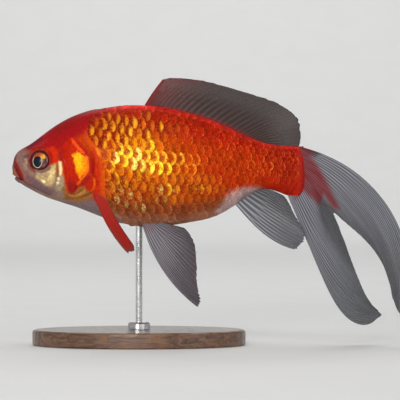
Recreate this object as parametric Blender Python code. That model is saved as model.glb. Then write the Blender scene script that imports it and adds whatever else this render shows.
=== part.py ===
"""A goldfish with a long forked tail, as a life-size museum model on a plain display stand.

The fish swims towards -X with its back up and its left side towards -Y.  The origin is the middle of the
underside of the stand's base, under the rod.  Lengths in the tables are in millimetres and angles in degrees,
measured in the side view from +X, the tail end, towards +Z.  The model itself is in metres.
"""
import math
from collections import namedtuple

import bmesh
import bpy
import numpy as np

MM = 0.001
GAP = 0.3                     # clearance between neighbouring pieces
LEFT, RIGHT = -1, 1           # which side of the middle plane, as the sign of y

# The body, as a boat builder's table of offsets: place, height of the back, height of the belly, half width.
STATIONS = np.array((
    (-56.7, 80.2, 80.2, 0.0),       # tip of the snout
    (-55.8, 85.0, 75.5, 3.4),       # lips
    (-53.6, 87.6, 73.1, 5.2),       # corners of the mouth
    (-48.1, 90.9, 69.8, 7.6),       # front of the eyes
    (-40.1, 96.9, 66.0, 9.9),       # back of the eyes
    (-28.8, 103.3, 62.3, 11.9),     # gill covers
    (-15.3, 107.0, 57.1, 13.4),     # shoulders
    (2.7, 108.2, 52.8, 13.4),       # front of the dorsal fin
    (22.9, 104.6, 54.9, 11.9),      # middle of the belly
    (40.1, 98.3, 60.5, 9.2),        # vent
    (49.1, 94.0, 66.9, 7.2),        # base of the anal fin
    (56.2, 91.4, 69.9, 5.7),        # narrowest height of the tail stem
    (65.2, 90.1, 67.7, 4.1),        # tail stem
    (74.2, 89.7, 66.5, 2.3),        # root of the tail fin
))
SNOUT, TAIL_ROOT = STATIONS[0, 0], STATIONS[-1, 0]
WIDEST_HEIGHT = 0.50          # where a section is widest, as a share of its height
BACK_FULLNESS = 0.04          # how much rounder than an ellipse the section is above and below that
BELLY_FULLNESS = 0.18
BODY_RINGS, BODY_SIDES = 40, 26

# Where the body is parted, seen from the side.
SHOULDER_ARC = (-47.3, 82.2, 27.3)      # centre and radius of the edge that the head ends on
SHOULDER_ARC_HALF_ANGLE = 62
STEM_START = 57.0
UPPER_JAW = ((-62.0, 76.9), (-51.3, 74.1), (-55.6, 82.3), (-62.0, 83.5))
LOWER_JAW = ((-62.0, 60.0), (-48.0, 60.0), (-48.4, 70.6), (-51.0, 73.7), (-62.0, 76.55))
MOUTH_LINE = ((-62.0, 76.7), (-51.3, 73.9))   # between the jaws, seen from the side
MOUTH_CORNER = -52.4
LIP_RADIUS, LIP_OFFSET = 0.6, 0.75      # of the bead along each jaw, and its distance from the mouth line
NOSTRIL = (-50.4, 84.6, 0.55)           # place and radius

# Gill cover: its edges as (height, front edge, rear edge), from the top corner down.
GILL_COVER_EDGES = np.array((
    (92.8, -30.6, -29.4),
    (89.0, -32.0, -26.2),
    (84.6, -33.0, -22.7),
    (81.0, -33.4, -21.7),
    (77.4, -33.3, -22.0),
    (73.0, -32.2, -25.9),
    (69.0, -30.3, -29.4),
))
GILL_COVER_PROUD, GILL_COVER_THICKNESS = 0.35, 1.4

EYE_PLACE = (-44.2, 82.5)
EYE_RADIUS, EYE_HALF_DEPTH, EYE_SUNK = 4.6, 3.0, 1.5
COVER_CUT_LIFT = 2.0          # how far the gill covers' cutters reach out of the head
COVER_ROWS, COVER_COLUMNS = 10, 6
EYE_RINGS, EYE_SIDES = 8, 18
LIP_RINGS, LIP_SIDES = 13, 8
REACH = 40.0                  # cutters and regions reach this far out from the middle plane
REGION_BOTTOM, REGION_TOP = 30.0, 130.0

# Fins are fans of rays.  A ray starts at (x, z), has a length, turns from one angle to another as it goes,
# and reaches out to the side.  The turn follows the power `bend` of the way along: above 1 it comes late.
Ray = namedtuple("Ray", "x z length start end bend out")
FIN_ROOT_HALF, FIN_TIP_HALF = 0.9, 0.3  # half thickness
FIN_ROOT_DEPTH = 1.6                    # how far a fin's rays start inside the body before it is cut free

STAND_BASE = (96.0, 62.0, 7.0)          # length, width, height
STAND_BASE_BEVEL = 1.2
ROD_RADIUS, ROD_IN_BASE, ROD_IN_BODY = 1.5, 4.5, 6.0
COLLAR_RADIUS, COLLAR_HEIGHT, COLLAR_BEVEL = 5.0, 3.0, 0.6


# ---- Curves and surfaces -------------------------------------------------------------------------

def smooth_curve(knots, values, at):
    """Natural cubic spline through the rows of values at the knots, read at the places `at`."""
    step = np.diff(knots)
    slope = np.diff(values, axis=0) / step[:, None]
    inner = np.diag(2 * (step[:-1] + step[1:])) + np.diag(step[1:-1], 1) + np.diag(step[1:-1], -1)
    curvature = np.zeros_like(values)
    curvature[1:-1] = np.linalg.solve(inner, 6 * np.diff(slope, axis=0))
    at = np.clip(at, knots[0], knots[-1])
    piece = np.clip(np.searchsorted(knots, at, side="right") - 1, 0, len(step) - 1)
    width = step[piece][..., None]
    before = (at - knots[piece])[..., None]
    after = width - before
    straight = (values[piece] * after + values[piece + 1] * before) / width
    bend = curvature[piece] * (after**3 - width**2 * after)
    bend += curvature[piece + 1] * (before**3 - width**2 * before)
    return straight + bend / (6 * width)


def way_along(x):
    """Square root of the share of the body's length, which makes the snout blunt and its rings close."""
    return np.sqrt(np.clip((np.asarray(x, float) - SNOUT) / (TAIL_ROOT - SNOUT), 0, 1))


def girth(x, grow=0.0):
    """Height of the back, the widest place and the belly, and the half width there."""
    row = smooth_curve(way_along(STATIONS[:, 0]), STATIONS[:, 1:], way_along(x))
    back, belly, half = np.moveaxis(row, -1, 0)
    widest = belly + WIDEST_HEIGHT * (back - belly)
    return back + grow, widest, belly - grow, half + grow


def side_of_section(half, rise):
    """Half width of a section where it has climbed by `rise`, from -1 at the belly to 1 at the back."""
    fullness = np.where(rise > 0, BACK_FULLNESS, BELLY_FULLNESS)
    return half * np.sqrt(np.clip(1 - rise**2, 0, 1)) * (1 + fullness * rise**2)


def flank(x, z):
    """Distance of the body's side from its middle plane, at a place given in the side view."""
    back, widest, belly, half = girth(x)
    rise = np.where(z > widest, (z - widest) / (back - widest), (z - widest) / (widest - belly))
    return side_of_section(half, np.clip(rise, -1, 1))


def fan(rays, across, along):
    """Grid of points over a fin: rays blended smoothly from first to last, each followed from root to tip."""
    table = np.array(rays, float)
    blend = np.linspace(0, len(rays) - 1, across)
    x, z, length, start, end, bend, out = smooth_curve(np.arange(len(rays)), table, blend).T[:, :, None]
    middle_of_step = (np.arange(along - 1) + 0.5) / (along - 1)
    angle = np.radians(start + (end - start) * middle_of_step ** bend)
    step = length / (along - 1)
    run = np.cumsum(np.cos(angle) * step, axis=1)
    climb = np.cumsum(np.sin(angle) * step, axis=1)
    root = np.zeros((across, 1))
    reach = out * np.linspace(0, 1, along)
    return np.stack([x + np.hstack([root, run]), reach, z + np.hstack([root, climb])], axis=-1)


def grown(outline, margin):
    """Outline, counterclockwise, with every edge moved outwards by the margin."""
    points = np.array(outline, float)
    edge = np.roll(points, -1, axis=0) - points
    outward = np.stack([edge[:, 1], -edge[:, 0]], axis=1) / np.linalg.norm(edge, axis=1)[:, None]
    before = np.roll(outward, 1, axis=0)
    share = 1 + np.sum(outward * before, axis=1)
    return points + margin * (outward + before) / share[:, None]


# ---- Objects -------------------------------------------------------------------------------------

def clear_scene():
    for item in list(bpy.data.objects):
        bpy.data.objects.remove(item)


def add_mesh(name, points, faces):
    """Object from points in millimetres, with all faces turned outwards."""
    mesh = bpy.data.meshes.new(name)
    mesh.from_pydata((np.asarray(points, float).reshape(-1, 3) * MM).tolist(), [], faces)
    shaper = bmesh.new()
    shaper.from_mesh(mesh)
    bmesh.ops.recalc_face_normals(shaper, faces=shaper.faces)
    shaper.to_mesh(mesh)
    shaper.free()
    mesh.shade_smooth()
    mesh.set_sharp_from_angle(angle=math.radians(40))
    thing = bpy.data.objects.new(name, mesh)
    bpy.context.collection.objects.link(thing)
    return thing


def add_grid_faces(rows, columns, start=0, flip=False, closed=False):
    """Quads over a grid of points numbered row by row, round a closed ring or between open edges."""
    gaps = columns if closed else columns - 1
    row, column = np.meshgrid(np.arange(rows - 1), np.arange(gaps), indexing="ij")
    following = (column + 1) % columns
    corners = [row * columns + column, (row + 1) * columns + column,
               (row + 1) * columns + following, row * columns + following]
    quads = np.stack(corners[::-1] if flip else corners, axis=-1).reshape(-1, 4) + start
    return quads.tolist()


def add_closed_faces(rings, sides):
    """Faces of a form made of rings, numbered from 2, closed by point 0 at its start and 1 at its end."""
    last = 2 + (rings - 1) * sides
    faces = add_grid_faces(rings, sides, start=2, closed=True)
    faces += [[0, 2 + (i + 1) % sides, 2 + i] for i in range(sides)]
    faces += [[1, last + i, last + (i + 1) % sides] for i in range(sides)]
    return faces


def add_sheet(name, middle, half_thickness):
    """Solid round a grid of points: moved half a thickness each way along its normals, joined by a rim."""
    rows, columns = middle.shape[:2]
    normal = np.cross(np.gradient(middle, axis=0), np.gradient(middle, axis=1))
    normal /= np.linalg.norm(normal, axis=-1, keepdims=True)
    offset = normal * half_thickness[..., None]
    points = np.concatenate([(middle + offset).reshape(-1, 3), (middle - offset).reshape(-1, 3)])
    number = np.arange(rows * columns).reshape(rows, columns)
    border = np.concatenate([number[0, :-1], number[:-1, -1], number[-1, :0:-1], number[:0:-1, 0]])
    after = np.roll(border, -1)
    back = rows * columns
    rim = np.stack([border, after, after + back, border + back], axis=-1)
    faces = add_grid_faces(rows, columns) + add_grid_faces(rows, columns, back, flip=True) + rim.tolist()
    return add_mesh(name, points, faces)


def add_prism(name, outline, half_width=REACH):
    """Solid with this outline in the side view, through the whole width of the fish."""
    count = len(outline)
    outline = np.asarray(outline, float)
    points = [(x, y, z) for y in (-half_width, half_width) for x, z in outline]
    faces = [list(range(count)), list(range(2 * count - 1, count - 1, -1))]
    faces += [[i, (i + 1) % count, (i + 1) % count + count, i + count] for i in range(count)]
    return add_mesh(name, points, faces)


def add_turned(name, profile, sides=24, stretch=(1.0, 1.0)):
    """Solid turned about the Z axis: profile of (radius, height), from its lowest middle point up."""
    angle = np.arange(sides) * 2 * math.pi / sides
    radius, height = np.array(profile[1:-1], float).T
    points = [(0, 0, profile[0][1]), (0, 0, profile[-1][1])]
    rings = np.stack(np.broadcast_arrays(radius[:, None] * np.cos(angle) * stretch[0],
                                         radius[:, None] * np.sin(angle) * stretch[1],
                                         height[:, None]), axis=-1)
    points = np.concatenate([points, rings.reshape(-1, 3)])
    return add_mesh(name, points, add_closed_faces(len(radius), sides))


def add_body(name, grow=0.0):
    """The whole body: rings set close at the snout, closed by a point there and a flat face at the tail."""
    share = np.linspace(0, 1, BODY_RINGS)[1:] ** 2
    x = SNOUT + share * (TAIL_ROOT - SNOUT)
    back, widest, belly, half = (value[:, None] for value in girth(x, grow))
    angle = np.arange(BODY_SIDES) * 2 * math.pi / BODY_SIDES
    rise = np.cos(angle)[None, :]
    z = widest + rise * np.where(rise > 0, back - widest, widest - belly)
    y = side_of_section(half, rise) * np.sign(np.sin(angle))
    x[-1] += grow
    rings = np.stack(np.broadcast_arrays(x[:, None], y, z), axis=-1)
    tip = (SNOUT - grow, 0, STATIONS[0, 1])
    points = np.concatenate([[tip], rings.reshape(-1, 3)])
    faces = add_grid_faces(BODY_RINGS - 1, BODY_SIDES, start=1, closed=True)
    faces += [[0, 1 + (i + 1) % BODY_SIDES, 1 + i] for i in range(BODY_SIDES)]
    last = 1 + (BODY_RINGS - 2) * BODY_SIDES
    faces.append(list(range(last, last + BODY_SIDES)))
    return add_mesh(name, points, faces)


def as_cutter(thing):
    thing.hide_render = True
    thing.display_type = "WIRE"
    return thing


def combine(thing, operation, cutter):
    """Boolean of one object with another, kept as a modifier."""
    modifier = thing.modifiers.new(cutter.name, "BOOLEAN")
    modifier.operation = operation
    modifier.object = cutter
    modifier.solver = "EXACT"


def paint(thing, colour, roughness, metallic=0.0):
    """Material of the object's own."""
    material = bpy.data.materials.new(thing.name)
    material.use_nodes = True
    shader = material.node_tree.nodes["Principled BSDF"]
    shader.inputs["Base Color"].default_value = (*colour, 1)
    shader.inputs["Roughness"].default_value = roughness
    shader.inputs["Metallic"].default_value = metallic
    thing.data.materials.append(material)
    return thing


# ---- Parting the body ----------------------------------------------------------------------------

def shoulder_outline(margin=0.0):
    """Region of the head: all that lies in front of an arc behind the gill covers."""
    centre_x, centre_z, radius = SHOULDER_ARC
    angle = np.radians(np.linspace(-SHOULDER_ARC_HALF_ANGLE, SHOULDER_ARC_HALF_ANGLE, 25))
    radius += margin
    arc = np.stack([centre_x + radius * np.cos(angle), centre_z + radius * np.sin(angle)], axis=1)
    ahead = SNOUT - REACH
    return np.concatenate([arc, [(ahead, REGION_TOP), (ahead, REGION_BOTTOM)]])


def stem_outline(margin=0.0):
    """Region of the tail stem: all that lies behind an upright cut."""
    front, rear = STEM_START - margin, TAIL_ROOT + REACH
    return [(front, REGION_BOTTOM), (rear, REGION_BOTTOM), (rear, REGION_TOP), (front, REGION_TOP)]


def gill_cover(name, side, margin=0.0, lift=GILL_COVER_PROUD):
    """Plate over the gills, following the body's side a little proud of it; a margin makes its cutter."""
    top, bottom = GILL_COVER_EDGES[0, 0] + margin, GILL_COVER_EDGES[-1, 0] - margin
    z = np.linspace(top, bottom, COVER_ROWS)
    falling = GILL_COVER_EDGES[::-1]
    front, rear = smooth_curve(falling[:, 0], falling[:, 1:], z).T
    across = np.linspace(0, 1, COVER_COLUMNS)
    x = (front - margin)[:, None] + (rear - front + 2 * margin)[:, None] * across
    z = np.broadcast_to(z[:, None], x.shape)
    thickness = GILL_COVER_THICKNESS + lift - GILL_COVER_PROUD + margin
    depth = flank(x, z) + lift - thickness / 2
    return add_sheet(name, np.stack([x, side * depth, z], axis=-1), np.full(x.shape, thickness / 2))


def eyeball(name, side, margin=0.0):
    """Flattened ball, its axis straight out to the side."""
    x, z = EYE_PLACE
    y = side * (flank(x, z) - EYE_SUNK)
    polar = np.linspace(0, math.pi, EYE_RINGS + 1)[1:-1]
    turn = np.arange(EYE_SIDES) * 2 * math.pi / EYE_SIDES
    radius, half_depth = EYE_RADIUS + margin, EYE_HALF_DEPTH + margin
    ring_points = np.stack(np.broadcast_arrays(
        x + radius * np.sin(polar)[:, None] * np.cos(turn),
        y + half_depth * np.cos(polar)[:, None],
        z + radius * np.sin(polar)[:, None] * np.sin(turn)), axis=-1)
    points = np.concatenate([[(x, y + half_depth, z), (x, y - half_depth, z)], ring_points.reshape(-1, 3)])
    return add_mesh(name, points, add_closed_faces(EYE_RINGS - 1, EYE_SIDES))


def nostril(name, side):
    """Cutter for one small pit, level with the skin."""
    x, z, radius = NOSTRIL
    turn = np.arange(8) * math.pi / 4
    outline = np.stack([x + radius * np.cos(turn), z + radius * np.sin(turn)], axis=1)
    pit = add_prism(name, outline, half_width=1.0)
    pit.location.y = side * flank(x, z) * MM
    return pit


def make_head():
    head = add_body("head")
    combine(head, "INTERSECT", as_cutter(add_prism("cutter_head", shoulder_outline())))
    cutters = [add_prism("cutter_upper_jaw", grown(UPPER_JAW, GAP)),
               add_prism("cutter_lower_jaw", grown(LOWER_JAW, GAP))]
    for side, word in ((LEFT, "left"), (RIGHT, "right")):
        cutters.append(gill_cover(f"cutter_gill_cover_{word}", side, GAP, lift=COVER_CUT_LIFT))
        cutters.append(eyeball(f"cutter_socket_{word}", side, GAP))
        cutters.append(nostril(f"cutter_nostril_{word}", side))
    for cutter in cutters:
        combine(head, "DIFFERENCE", as_cutter(cutter))
    paint(head, (0.62, 0.16, 0.06), 0.4)


def lip(name, offset):
    """Bead round the front of a jaw, from one corner of the mouth to the other, tapering out at both ends."""
    (x_start, z_start), (x_end, z_end) = MOUTH_LINE
    slope = (z_end - z_start) / (x_end - x_start)
    trial = np.linspace(SNOUT, MOUTH_CORNER, 400)
    back, _, belly, _ = girth(trial)
    height = z_start + slope * (trial - x_start) + offset
    front = trial[np.argmax((height > belly) & (height < back))]
    way = np.linspace(-1, 1, LIP_RINGS)
    x = front + (MOUTH_CORNER - front) * way**2
    z = z_start + slope * (x - x_start) + offset
    path = np.stack([x, np.sign(way) * flank(x, z), z], axis=-1)
    ahead = np.gradient(path, axis=0)
    outward = np.cross(ahead, (0, 0, 1))
    outward /= np.linalg.norm(outward, axis=-1, keepdims=True)
    turn = np.arange(LIP_SIDES) * 2 * math.pi / LIP_SIDES
    radius = (LIP_RADIUS * np.sqrt(1 - way**2))[1:-1, None, None]
    rings = path[1:-1, None] + radius * (outward[1:-1, None] * np.cos(turn)[:, None]
                                         + np.array((0, 0, 1)) * np.sin(turn)[:, None])
    points = np.concatenate([path[:1], path[-1:], rings.reshape(-1, 3)])
    return add_mesh(name, points, add_closed_faces(len(rings), LIP_SIDES))


def make_jaws():
    jaws = (("upper_jaw", UPPER_JAW, LIP_OFFSET), ("lower_jaw", LOWER_JAW, -LIP_OFFSET))
    for name, outline, offset in jaws:
        jaw = add_body(name)
        combine(jaw, "UNION", as_cutter(lip("lip_" + name, offset)))
        combine(jaw, "INTERSECT", as_cutter(add_prism("region_" + name, outline)))
        paint(jaw, (0.55, 0.33, 0.28), 0.4)


def make_gill_covers_and_eyes():
    for side, word in ((LEFT, "left"), (RIGHT, "right")):
        paint(gill_cover("gill_cover_" + word, side), (0.85, 0.35, 0.05), 0.3, 0.3)
        paint(eyeball("eye_" + word, side), (0.05, 0.04, 0.05), 0.1)


def make_trunk_and_stem():
    trunk = add_body("trunk")
    cutters = (add_prism("cutter_shoulder", shoulder_outline(GAP)),
               add_prism("cutter_stem", stem_outline(GAP)),
               add_turned("cutter_rod_hole", rod_profile(GAP), sides=16))
    for cutter in cutters:
        combine(trunk, "DIFFERENCE", as_cutter(cutter))
    paint(trunk, (0.85, 0.22, 0.04), 0.35, 0.2)
    stem = add_body("tail_stem")
    combine(stem, "INTERSECT", as_cutter(add_prism("region_stem", stem_outline())))
    paint(stem, (0.80, 0.15, 0.03), 0.35, 0.2)


# ---- Fins ----------------------------------------------------------------------------------------

def back_ray(x, length, start, end):
    """Ray of the dorsal fin, rooted on the back."""
    return Ray(x, float(girth(x)[0]) - FIN_ROOT_DEPTH, length + FIN_ROOT_DEPTH, start, end, 1.0, 0.0)


def belly_ray(x, length, start, end, bend=1.0, out=0.0, above_belly=0.0):
    """Ray of the anal fin or a pelvic fin, rooted on the belly."""
    root = float(girth(x)[2]) + above_belly + FIN_ROOT_DEPTH
    return Ray(x, root, length + FIN_ROOT_DEPTH, start, end, bend, out)


DORSAL_RAYS = (
    back_ray(1.8, 14.2, 61, 50),
    back_ray(5.9, 19.6, 60, 22),
    back_ray(14.0, 22.2, 57, 10),
    back_ray(25.2, 23.2, 50, 8),
    back_ray(36.5, 24.6, 42, 12),
    back_ray(45.5, 24.6, 33, 14),
    back_ray(50.4, 21.4, 22, 8),
    back_ray(53.6, 16.4, 8, -8),
)
ANAL_SWAY = -3.0              # the tips lean this far to the left
ANAL_RAYS = (
    belly_ray(42.8, 33.6, -50, -12, 2.0, ANAL_SWAY),
    belly_ray(45.0, 33.2, -43, -24, 1.3, ANAL_SWAY),
    belly_ray(47.7, 29.8, -36, -29, 1.0, ANAL_SWAY),
    belly_ray(50.4, 22.4, -28, -34, 1.0, 0.8 * ANAL_SWAY),
    belly_ray(52.4, 16.0, -19, -34, 1.0, 0.6 * ANAL_SWAY),
    belly_ray(54.2, 10.0, -10, -30, 1.0, 0.4 * ANAL_SWAY),
)
PELVIC_FROM_MIDDLE = 4.4
PELVIC_ABOVE_BELLY = 1.2      # the roots start this much higher than the belly's lowest line
PELVIC_RAYS = (
    belly_ray(1.2, 44.6, -75, -36, 1.1, 12.0, PELVIC_ABOVE_BELLY),
    belly_ray(2.2, 43.6, -69, -40, 1.1, 12.0, PELVIC_ABOVE_BELLY),
    belly_ray(3.2, 38.8, -62, -46, 1.0, 10.5, PELVIC_ABOVE_BELLY),
    belly_ray(4.2, 32.2, -52, -48, 1.0, 8.0, PELVIC_ABOVE_BELLY),
    belly_ray(5.2, 25.2, -38, -40, 1.0, 6.0, PELVIC_ABOVE_BELLY),
    belly_ray(6.2, 18.4, -22, -28, 1.0, 4.0, PELVIC_ABOVE_BELLY),
    belly_ray(7.2, 14.6, -8, -12, 1.0, 3.0, PELVIC_ABOVE_BELLY),
)
# The left pectoral fin is lowered and held out, nearly edge on to the side view; the right one is swept back.
PECTORAL_LEFT_RAYS = (
    Ray(-21.0, 70.6, 33.6, -70, -45, 1.4, 15.0),
    Ray(-19.6, 70.9, 33.4, -68, -46, 1.3, 11.0),
    Ray(-18.2, 70.7, 32.0, -66, -49, 1.2, 6.5),
    Ray(-16.9, 69.8, 28.6, -65, -53, 1.0, 3.0),
)
PECTORAL_RIGHT_RAYS = (
    Ray(-21.0, 72.6, 34.0, -14, -24, 1.0, 9.5),
    Ray(-20.3, 71.4, 32.0, -24, -30, 1.0, 9.0),
    Ray(-19.4, 70.2, 27.0, -35, -38, 1.0, 8.0),
    Ray(-18.4, 69.2, 21.0, -48, -50, 1.0, 6.5),
)
TAIL_SWAY = 5.0               # the lower lobe's tip leans this far to the right, the upper lobe's to the left
UPPER_TAIL_RAYS = (
    Ray(72.0, 89.4, 101.6, -14, -110, 1.12, -TAIL_SWAY),
    Ray(72.0, 86.9, 92.0, -19, -99, 1.0, -TAIL_SWAY),
    Ray(72.0, 84.2, 76.3, -26, -85, 1.0, -0.7 * TAIL_SWAY),
    Ray(72.0, 81.4, 50.5, -36, -62, 1.0, -0.3 * TAIL_SWAY),
    Ray(72.0, 79.2, 25.2, -48, -54, 1.0, 0.0),
)
LOWER_TAIL_RAYS = (
    Ray(66.4, 68.4, 78.6, -67, 60, 7.5, TAIL_SWAY),
    Ray(68.2, 70.2, 69.8, -66, -28, 2.2, TAIL_SWAY),
    Ray(70.2, 73.2, 59.9, -62, -51, 1.5, 0.7 * TAIL_SWAY),
    Ray(71.6, 76.0, 42.0, -58, -55, 1.0, 0.3 * TAIL_SWAY),
    Ray(72.0, 78.5, 25.2, -49, -54, 1.0, 0.0),
)


def add_fin(name, rays, across, along, side=0, from_middle=0.0):
    """Solid fin, thick at its root and thin at its edge, cut free of the body."""
    middle = fan(rays, across, along)
    if side:
        middle[..., 1] = side * (middle[..., 1] + from_middle)
    taper = (1 - np.linspace(0, 1, along)) ** 3
    half = np.broadcast_to(FIN_TIP_HALF + (FIN_ROOT_HALF - FIN_TIP_HALF) * taper, middle.shape[:2])
    fin = add_sheet(name, middle, half)
    combine(fin, "DIFFERENCE", bpy.data.objects["cutter_body"])
    return fin


def make_fins():
    as_cutter(add_body("cutter_body", GAP))
    paint(add_fin("dorsal_fin", DORSAL_RAYS, 16, 7), (0.30, 0.20, 0.17), 0.4)
    paint(add_fin("anal_fin", ANAL_RAYS, 10, 7), (0.62, 0.60, 0.60), 0.4)
    paint(add_fin("tail_fin_upper", UPPER_TAIL_RAYS, 8, 15), (0.62, 0.60, 0.62), 0.4)
    paint(add_fin("tail_fin_lower", LOWER_TAIL_RAYS, 8, 16), (0.62, 0.60, 0.62), 0.4)
    pairs = ((LEFT, "left", PECTORAL_LEFT_RAYS), (RIGHT, "right", PECTORAL_RIGHT_RAYS))
    for side, word, pectoral_rays in pairs:
        pelvic = add_fin("pelvic_fin_" + word, PELVIC_RAYS, 10, 8, side, PELVIC_FROM_MIDDLE)
        paint(pelvic, (0.66, 0.60, 0.60), 0.4)
        root = pectoral_rays[0]
        from_middle = float(flank(root.x, root.z)) - FIN_ROOT_DEPTH
        pectoral = add_fin("pectoral_fin_" + word, pectoral_rays, 6, 9, side, from_middle)
        paint(pectoral, (0.65, 0.10, 0.07), 0.4)


# ---- Display stand -------------------------------------------------------------------------------

def rod_profile(margin=0.0):
    low = STAND_BASE[2] - ROD_IN_BASE - margin
    high = float(girth(0.0)[2]) + ROD_IN_BODY + margin
    radius = ROD_RADIUS + margin
    return [(0, low), (radius, low), (radius, high), (0, high)]


def make_stand():
    length, width, height = STAND_BASE
    bevel = STAND_BASE_BEVEL
    outer = length / 2
    profile = [(0, 0), (outer - bevel / 2, 0), (outer, bevel / 2), (outer, height - bevel),
               (outer - bevel * 0.3, height - bevel * 0.3), (outer - bevel, height), (0, height)]
    base = add_turned("stand_base", profile, sides=48, stretch=(1, width / length))
    combine(base, "DIFFERENCE", bpy.data.objects["cutter_rod_hole"])
    paint(base, (0.16, 0.07, 0.035), 0.35)
    paint(add_turned("stand_rod", rod_profile(), sides=16), (0.7, 0.7, 0.7), 0.25, 1.0)
    low, high = height + GAP, height + GAP + COLLAR_HEIGHT
    profile = [(0, low), (COLLAR_RADIUS, low), (COLLAR_RADIUS, high - COLLAR_BEVEL),
               (COLLAR_RADIUS - COLLAR_BEVEL, high), (0, high)]
    collar = add_turned("stand_collar", profile)
    combine(collar, "DIFFERENCE", bpy.data.objects["cutter_rod_hole"])
    paint(collar, (0.7, 0.7, 0.7), 0.25, 1.0)


clear_scene()
make_trunk_and_stem()
make_head()
make_jaws()
make_gill_covers_and_eyes()
make_fins()
make_stand()
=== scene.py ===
"""A goldfish with a long forked tail, as a life-size museum model: its skin, scales, eyes and fins, the
finish of its stand, and the studio round it.

The fish swims towards -X with its back up and its left side towards -Y.  Lengths in the tables are in
millimetres and angles in degrees, measured in the side view from +X, the tail end, towards +Z.  Colours are
linear red, green, blue.
"""
import math
from collections import namedtuple

import bpy
import numpy as np
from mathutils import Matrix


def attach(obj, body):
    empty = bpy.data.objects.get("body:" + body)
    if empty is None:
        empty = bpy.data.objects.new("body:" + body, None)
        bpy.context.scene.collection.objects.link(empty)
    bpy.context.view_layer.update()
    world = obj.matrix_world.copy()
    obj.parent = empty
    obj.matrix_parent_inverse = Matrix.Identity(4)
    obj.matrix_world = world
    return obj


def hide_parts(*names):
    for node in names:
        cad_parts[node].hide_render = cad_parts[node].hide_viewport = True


MM = 0.001
LEFT, RIGHT = -1, 1           # which side of the middle plane, as the sign of y

# ---- The body's form -----------------------------------------------------------------------------

# Table of offsets: place, height of the back, height of the belly, half width.
STATIONS = np.array((
    (-56.7, 80.2, 80.2, 0.0),
    (-55.8, 85.0, 75.5, 3.4),
    (-53.6, 87.6, 73.1, 5.2),
    (-48.1, 90.9, 69.8, 7.6),
    (-40.1, 96.9, 66.0, 9.9),
    (-28.8, 103.3, 62.3, 11.9),
    (-15.3, 107.0, 57.1, 13.4),
    (2.7, 108.2, 52.8, 13.4),
    (22.9, 104.6, 54.9, 11.9),
    (40.1, 98.3, 60.5, 9.2),
    (49.1, 94.0, 66.9, 7.2),
    (56.2, 91.4, 69.9, 5.7),
    (65.2, 90.1, 67.7, 4.1),
    (74.2, 89.7, 66.5, 2.3),
))
SNOUT, TAIL_ROOT = STATIONS[0, 0], STATIONS[-1, 0]
BACK_FULLNESS, BELLY_FULLNESS = 0.04, 0.18
TAPER_START, TAPER_LENGTH = 67.0, 8.2   # the tail stem closes to an upright edge inside the fin
BODY_END = TAPER_START + TAPER_LENGTH
CORNER_START, TOP_CORNER, LOW_CORNER = 62.0, 1.2, 3.6   # how far that edge leans forward at its ends
LINE_PIECES, GILL_PIECES, COAT_PIECES = 20, 40, 30      # straight pieces that a smooth line is measured by


def ease(value, low, high):
    """Smooth step from 0 at low to 1 at high: 3 t^2 - 2 t^3."""
    t = np.clip((value - low) / (high - low), 0, 1)
    return t * t * (3 - 2 * t)


def smooth_curve(knots, values, at):
    """Natural cubic spline through the rows of values at the knots, read at the places `at`."""
    step = np.diff(knots)
    slope = np.diff(values, axis=0) / step[:, None]
    inner = np.diag(2 * (step[:-1] + step[1:])) + np.diag(step[1:-1], 1) + np.diag(step[1:-1], -1)
    curvature = np.zeros_like(values)
    curvature[1:-1] = np.linalg.solve(inner, 6 * np.diff(slope, axis=0))
    at = np.clip(at, knots[0], knots[-1])
    piece = np.clip(np.searchsorted(knots, at, side="right") - 1, 0, len(step) - 1)
    width = step[piece][..., None]
    before = (at - knots[piece])[..., None]
    after = width - before
    straight = (values[piece] * after + values[piece + 1] * before) / width
    bend = curvature[piece] * (after**3 - width**2 * after)
    bend += curvature[piece + 1] * (before**3 - width**2 * before)
    return straight + bend / (6 * width)


def way_along(x):
    """Square root of the share of the body's length, which makes the snout blunt."""
    return np.sqrt(np.clip((np.asarray(x, float) - SNOUT) / (TAIL_ROOT - SNOUT), 0, 1))


def girth(x):
    """Height of the back, the middle and the belly, and the half width there, which ends as a quarter
    ellipse."""
    offsets = smooth_curve(way_along(STATIONS[:, 0]), STATIONS[:, 1:], way_along(x))
    back, belly, half = np.moveaxis(offsets, -1, 0)
    close = np.clip((np.asarray(x, float) - TAPER_START) / TAPER_LENGTH, 0, 1)
    return back, (back + belly) / 2, belly, half * np.sqrt(1 - close**2)


def body_point(x, turn):
    """Point of the plain body at a place along it, turned by an angle from the back, 0, down the right
    side to the belly, pi: height = middle + cos(turn) * half height, side = half width * sin(turn) * (1 +
    fullness cos^2)."""
    back, middle, belly, half = girth(x)
    rise = np.cos(turn)
    fullness = np.where(rise > 0, BACK_FULLNESS, BELLY_FULLNESS)
    side = half * np.sin(turn) * (1 + fullness * rise**2)
    corner = np.where(rise > 0, TOP_CORNER, LOW_CORNER) * rise**4 * ease(x, CORNER_START, TAIL_ROOT + 1)
    return np.stack(np.broadcast_arrays(x - corner, side, middle + rise * (back - belly) / 2), axis=-1)


def flank(x, z):
    """Distance of the body's side from its middle plane, at a place given in the side view."""
    back, middle, belly, _ = girth(x)
    turn = np.arccos(np.clip((z - middle) / ((back - belly) / 2), -1, 1))
    return body_point(x, turn)[..., 1]


def unit(vectors):
    """Vectors of length one with the same directions."""
    return vectors / np.maximum(np.linalg.norm(vectors, axis=-1, keepdims=True), 1e-9)


def body_normal(x, turn):
    """Outward direction of the plain body there, from two short steps on it."""
    along = body_point(x + 0.05, turn) - body_point(x - 0.05, turn)
    round_it = body_point(x, turn + 0.01) - body_point(x, turn - 0.01)
    return unit(np.cross(along, round_it))


def bump(distance, width):
    """Bell curve exp(-(distance / width)^2)."""
    return np.exp(-(distance / width) ** 2)


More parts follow.
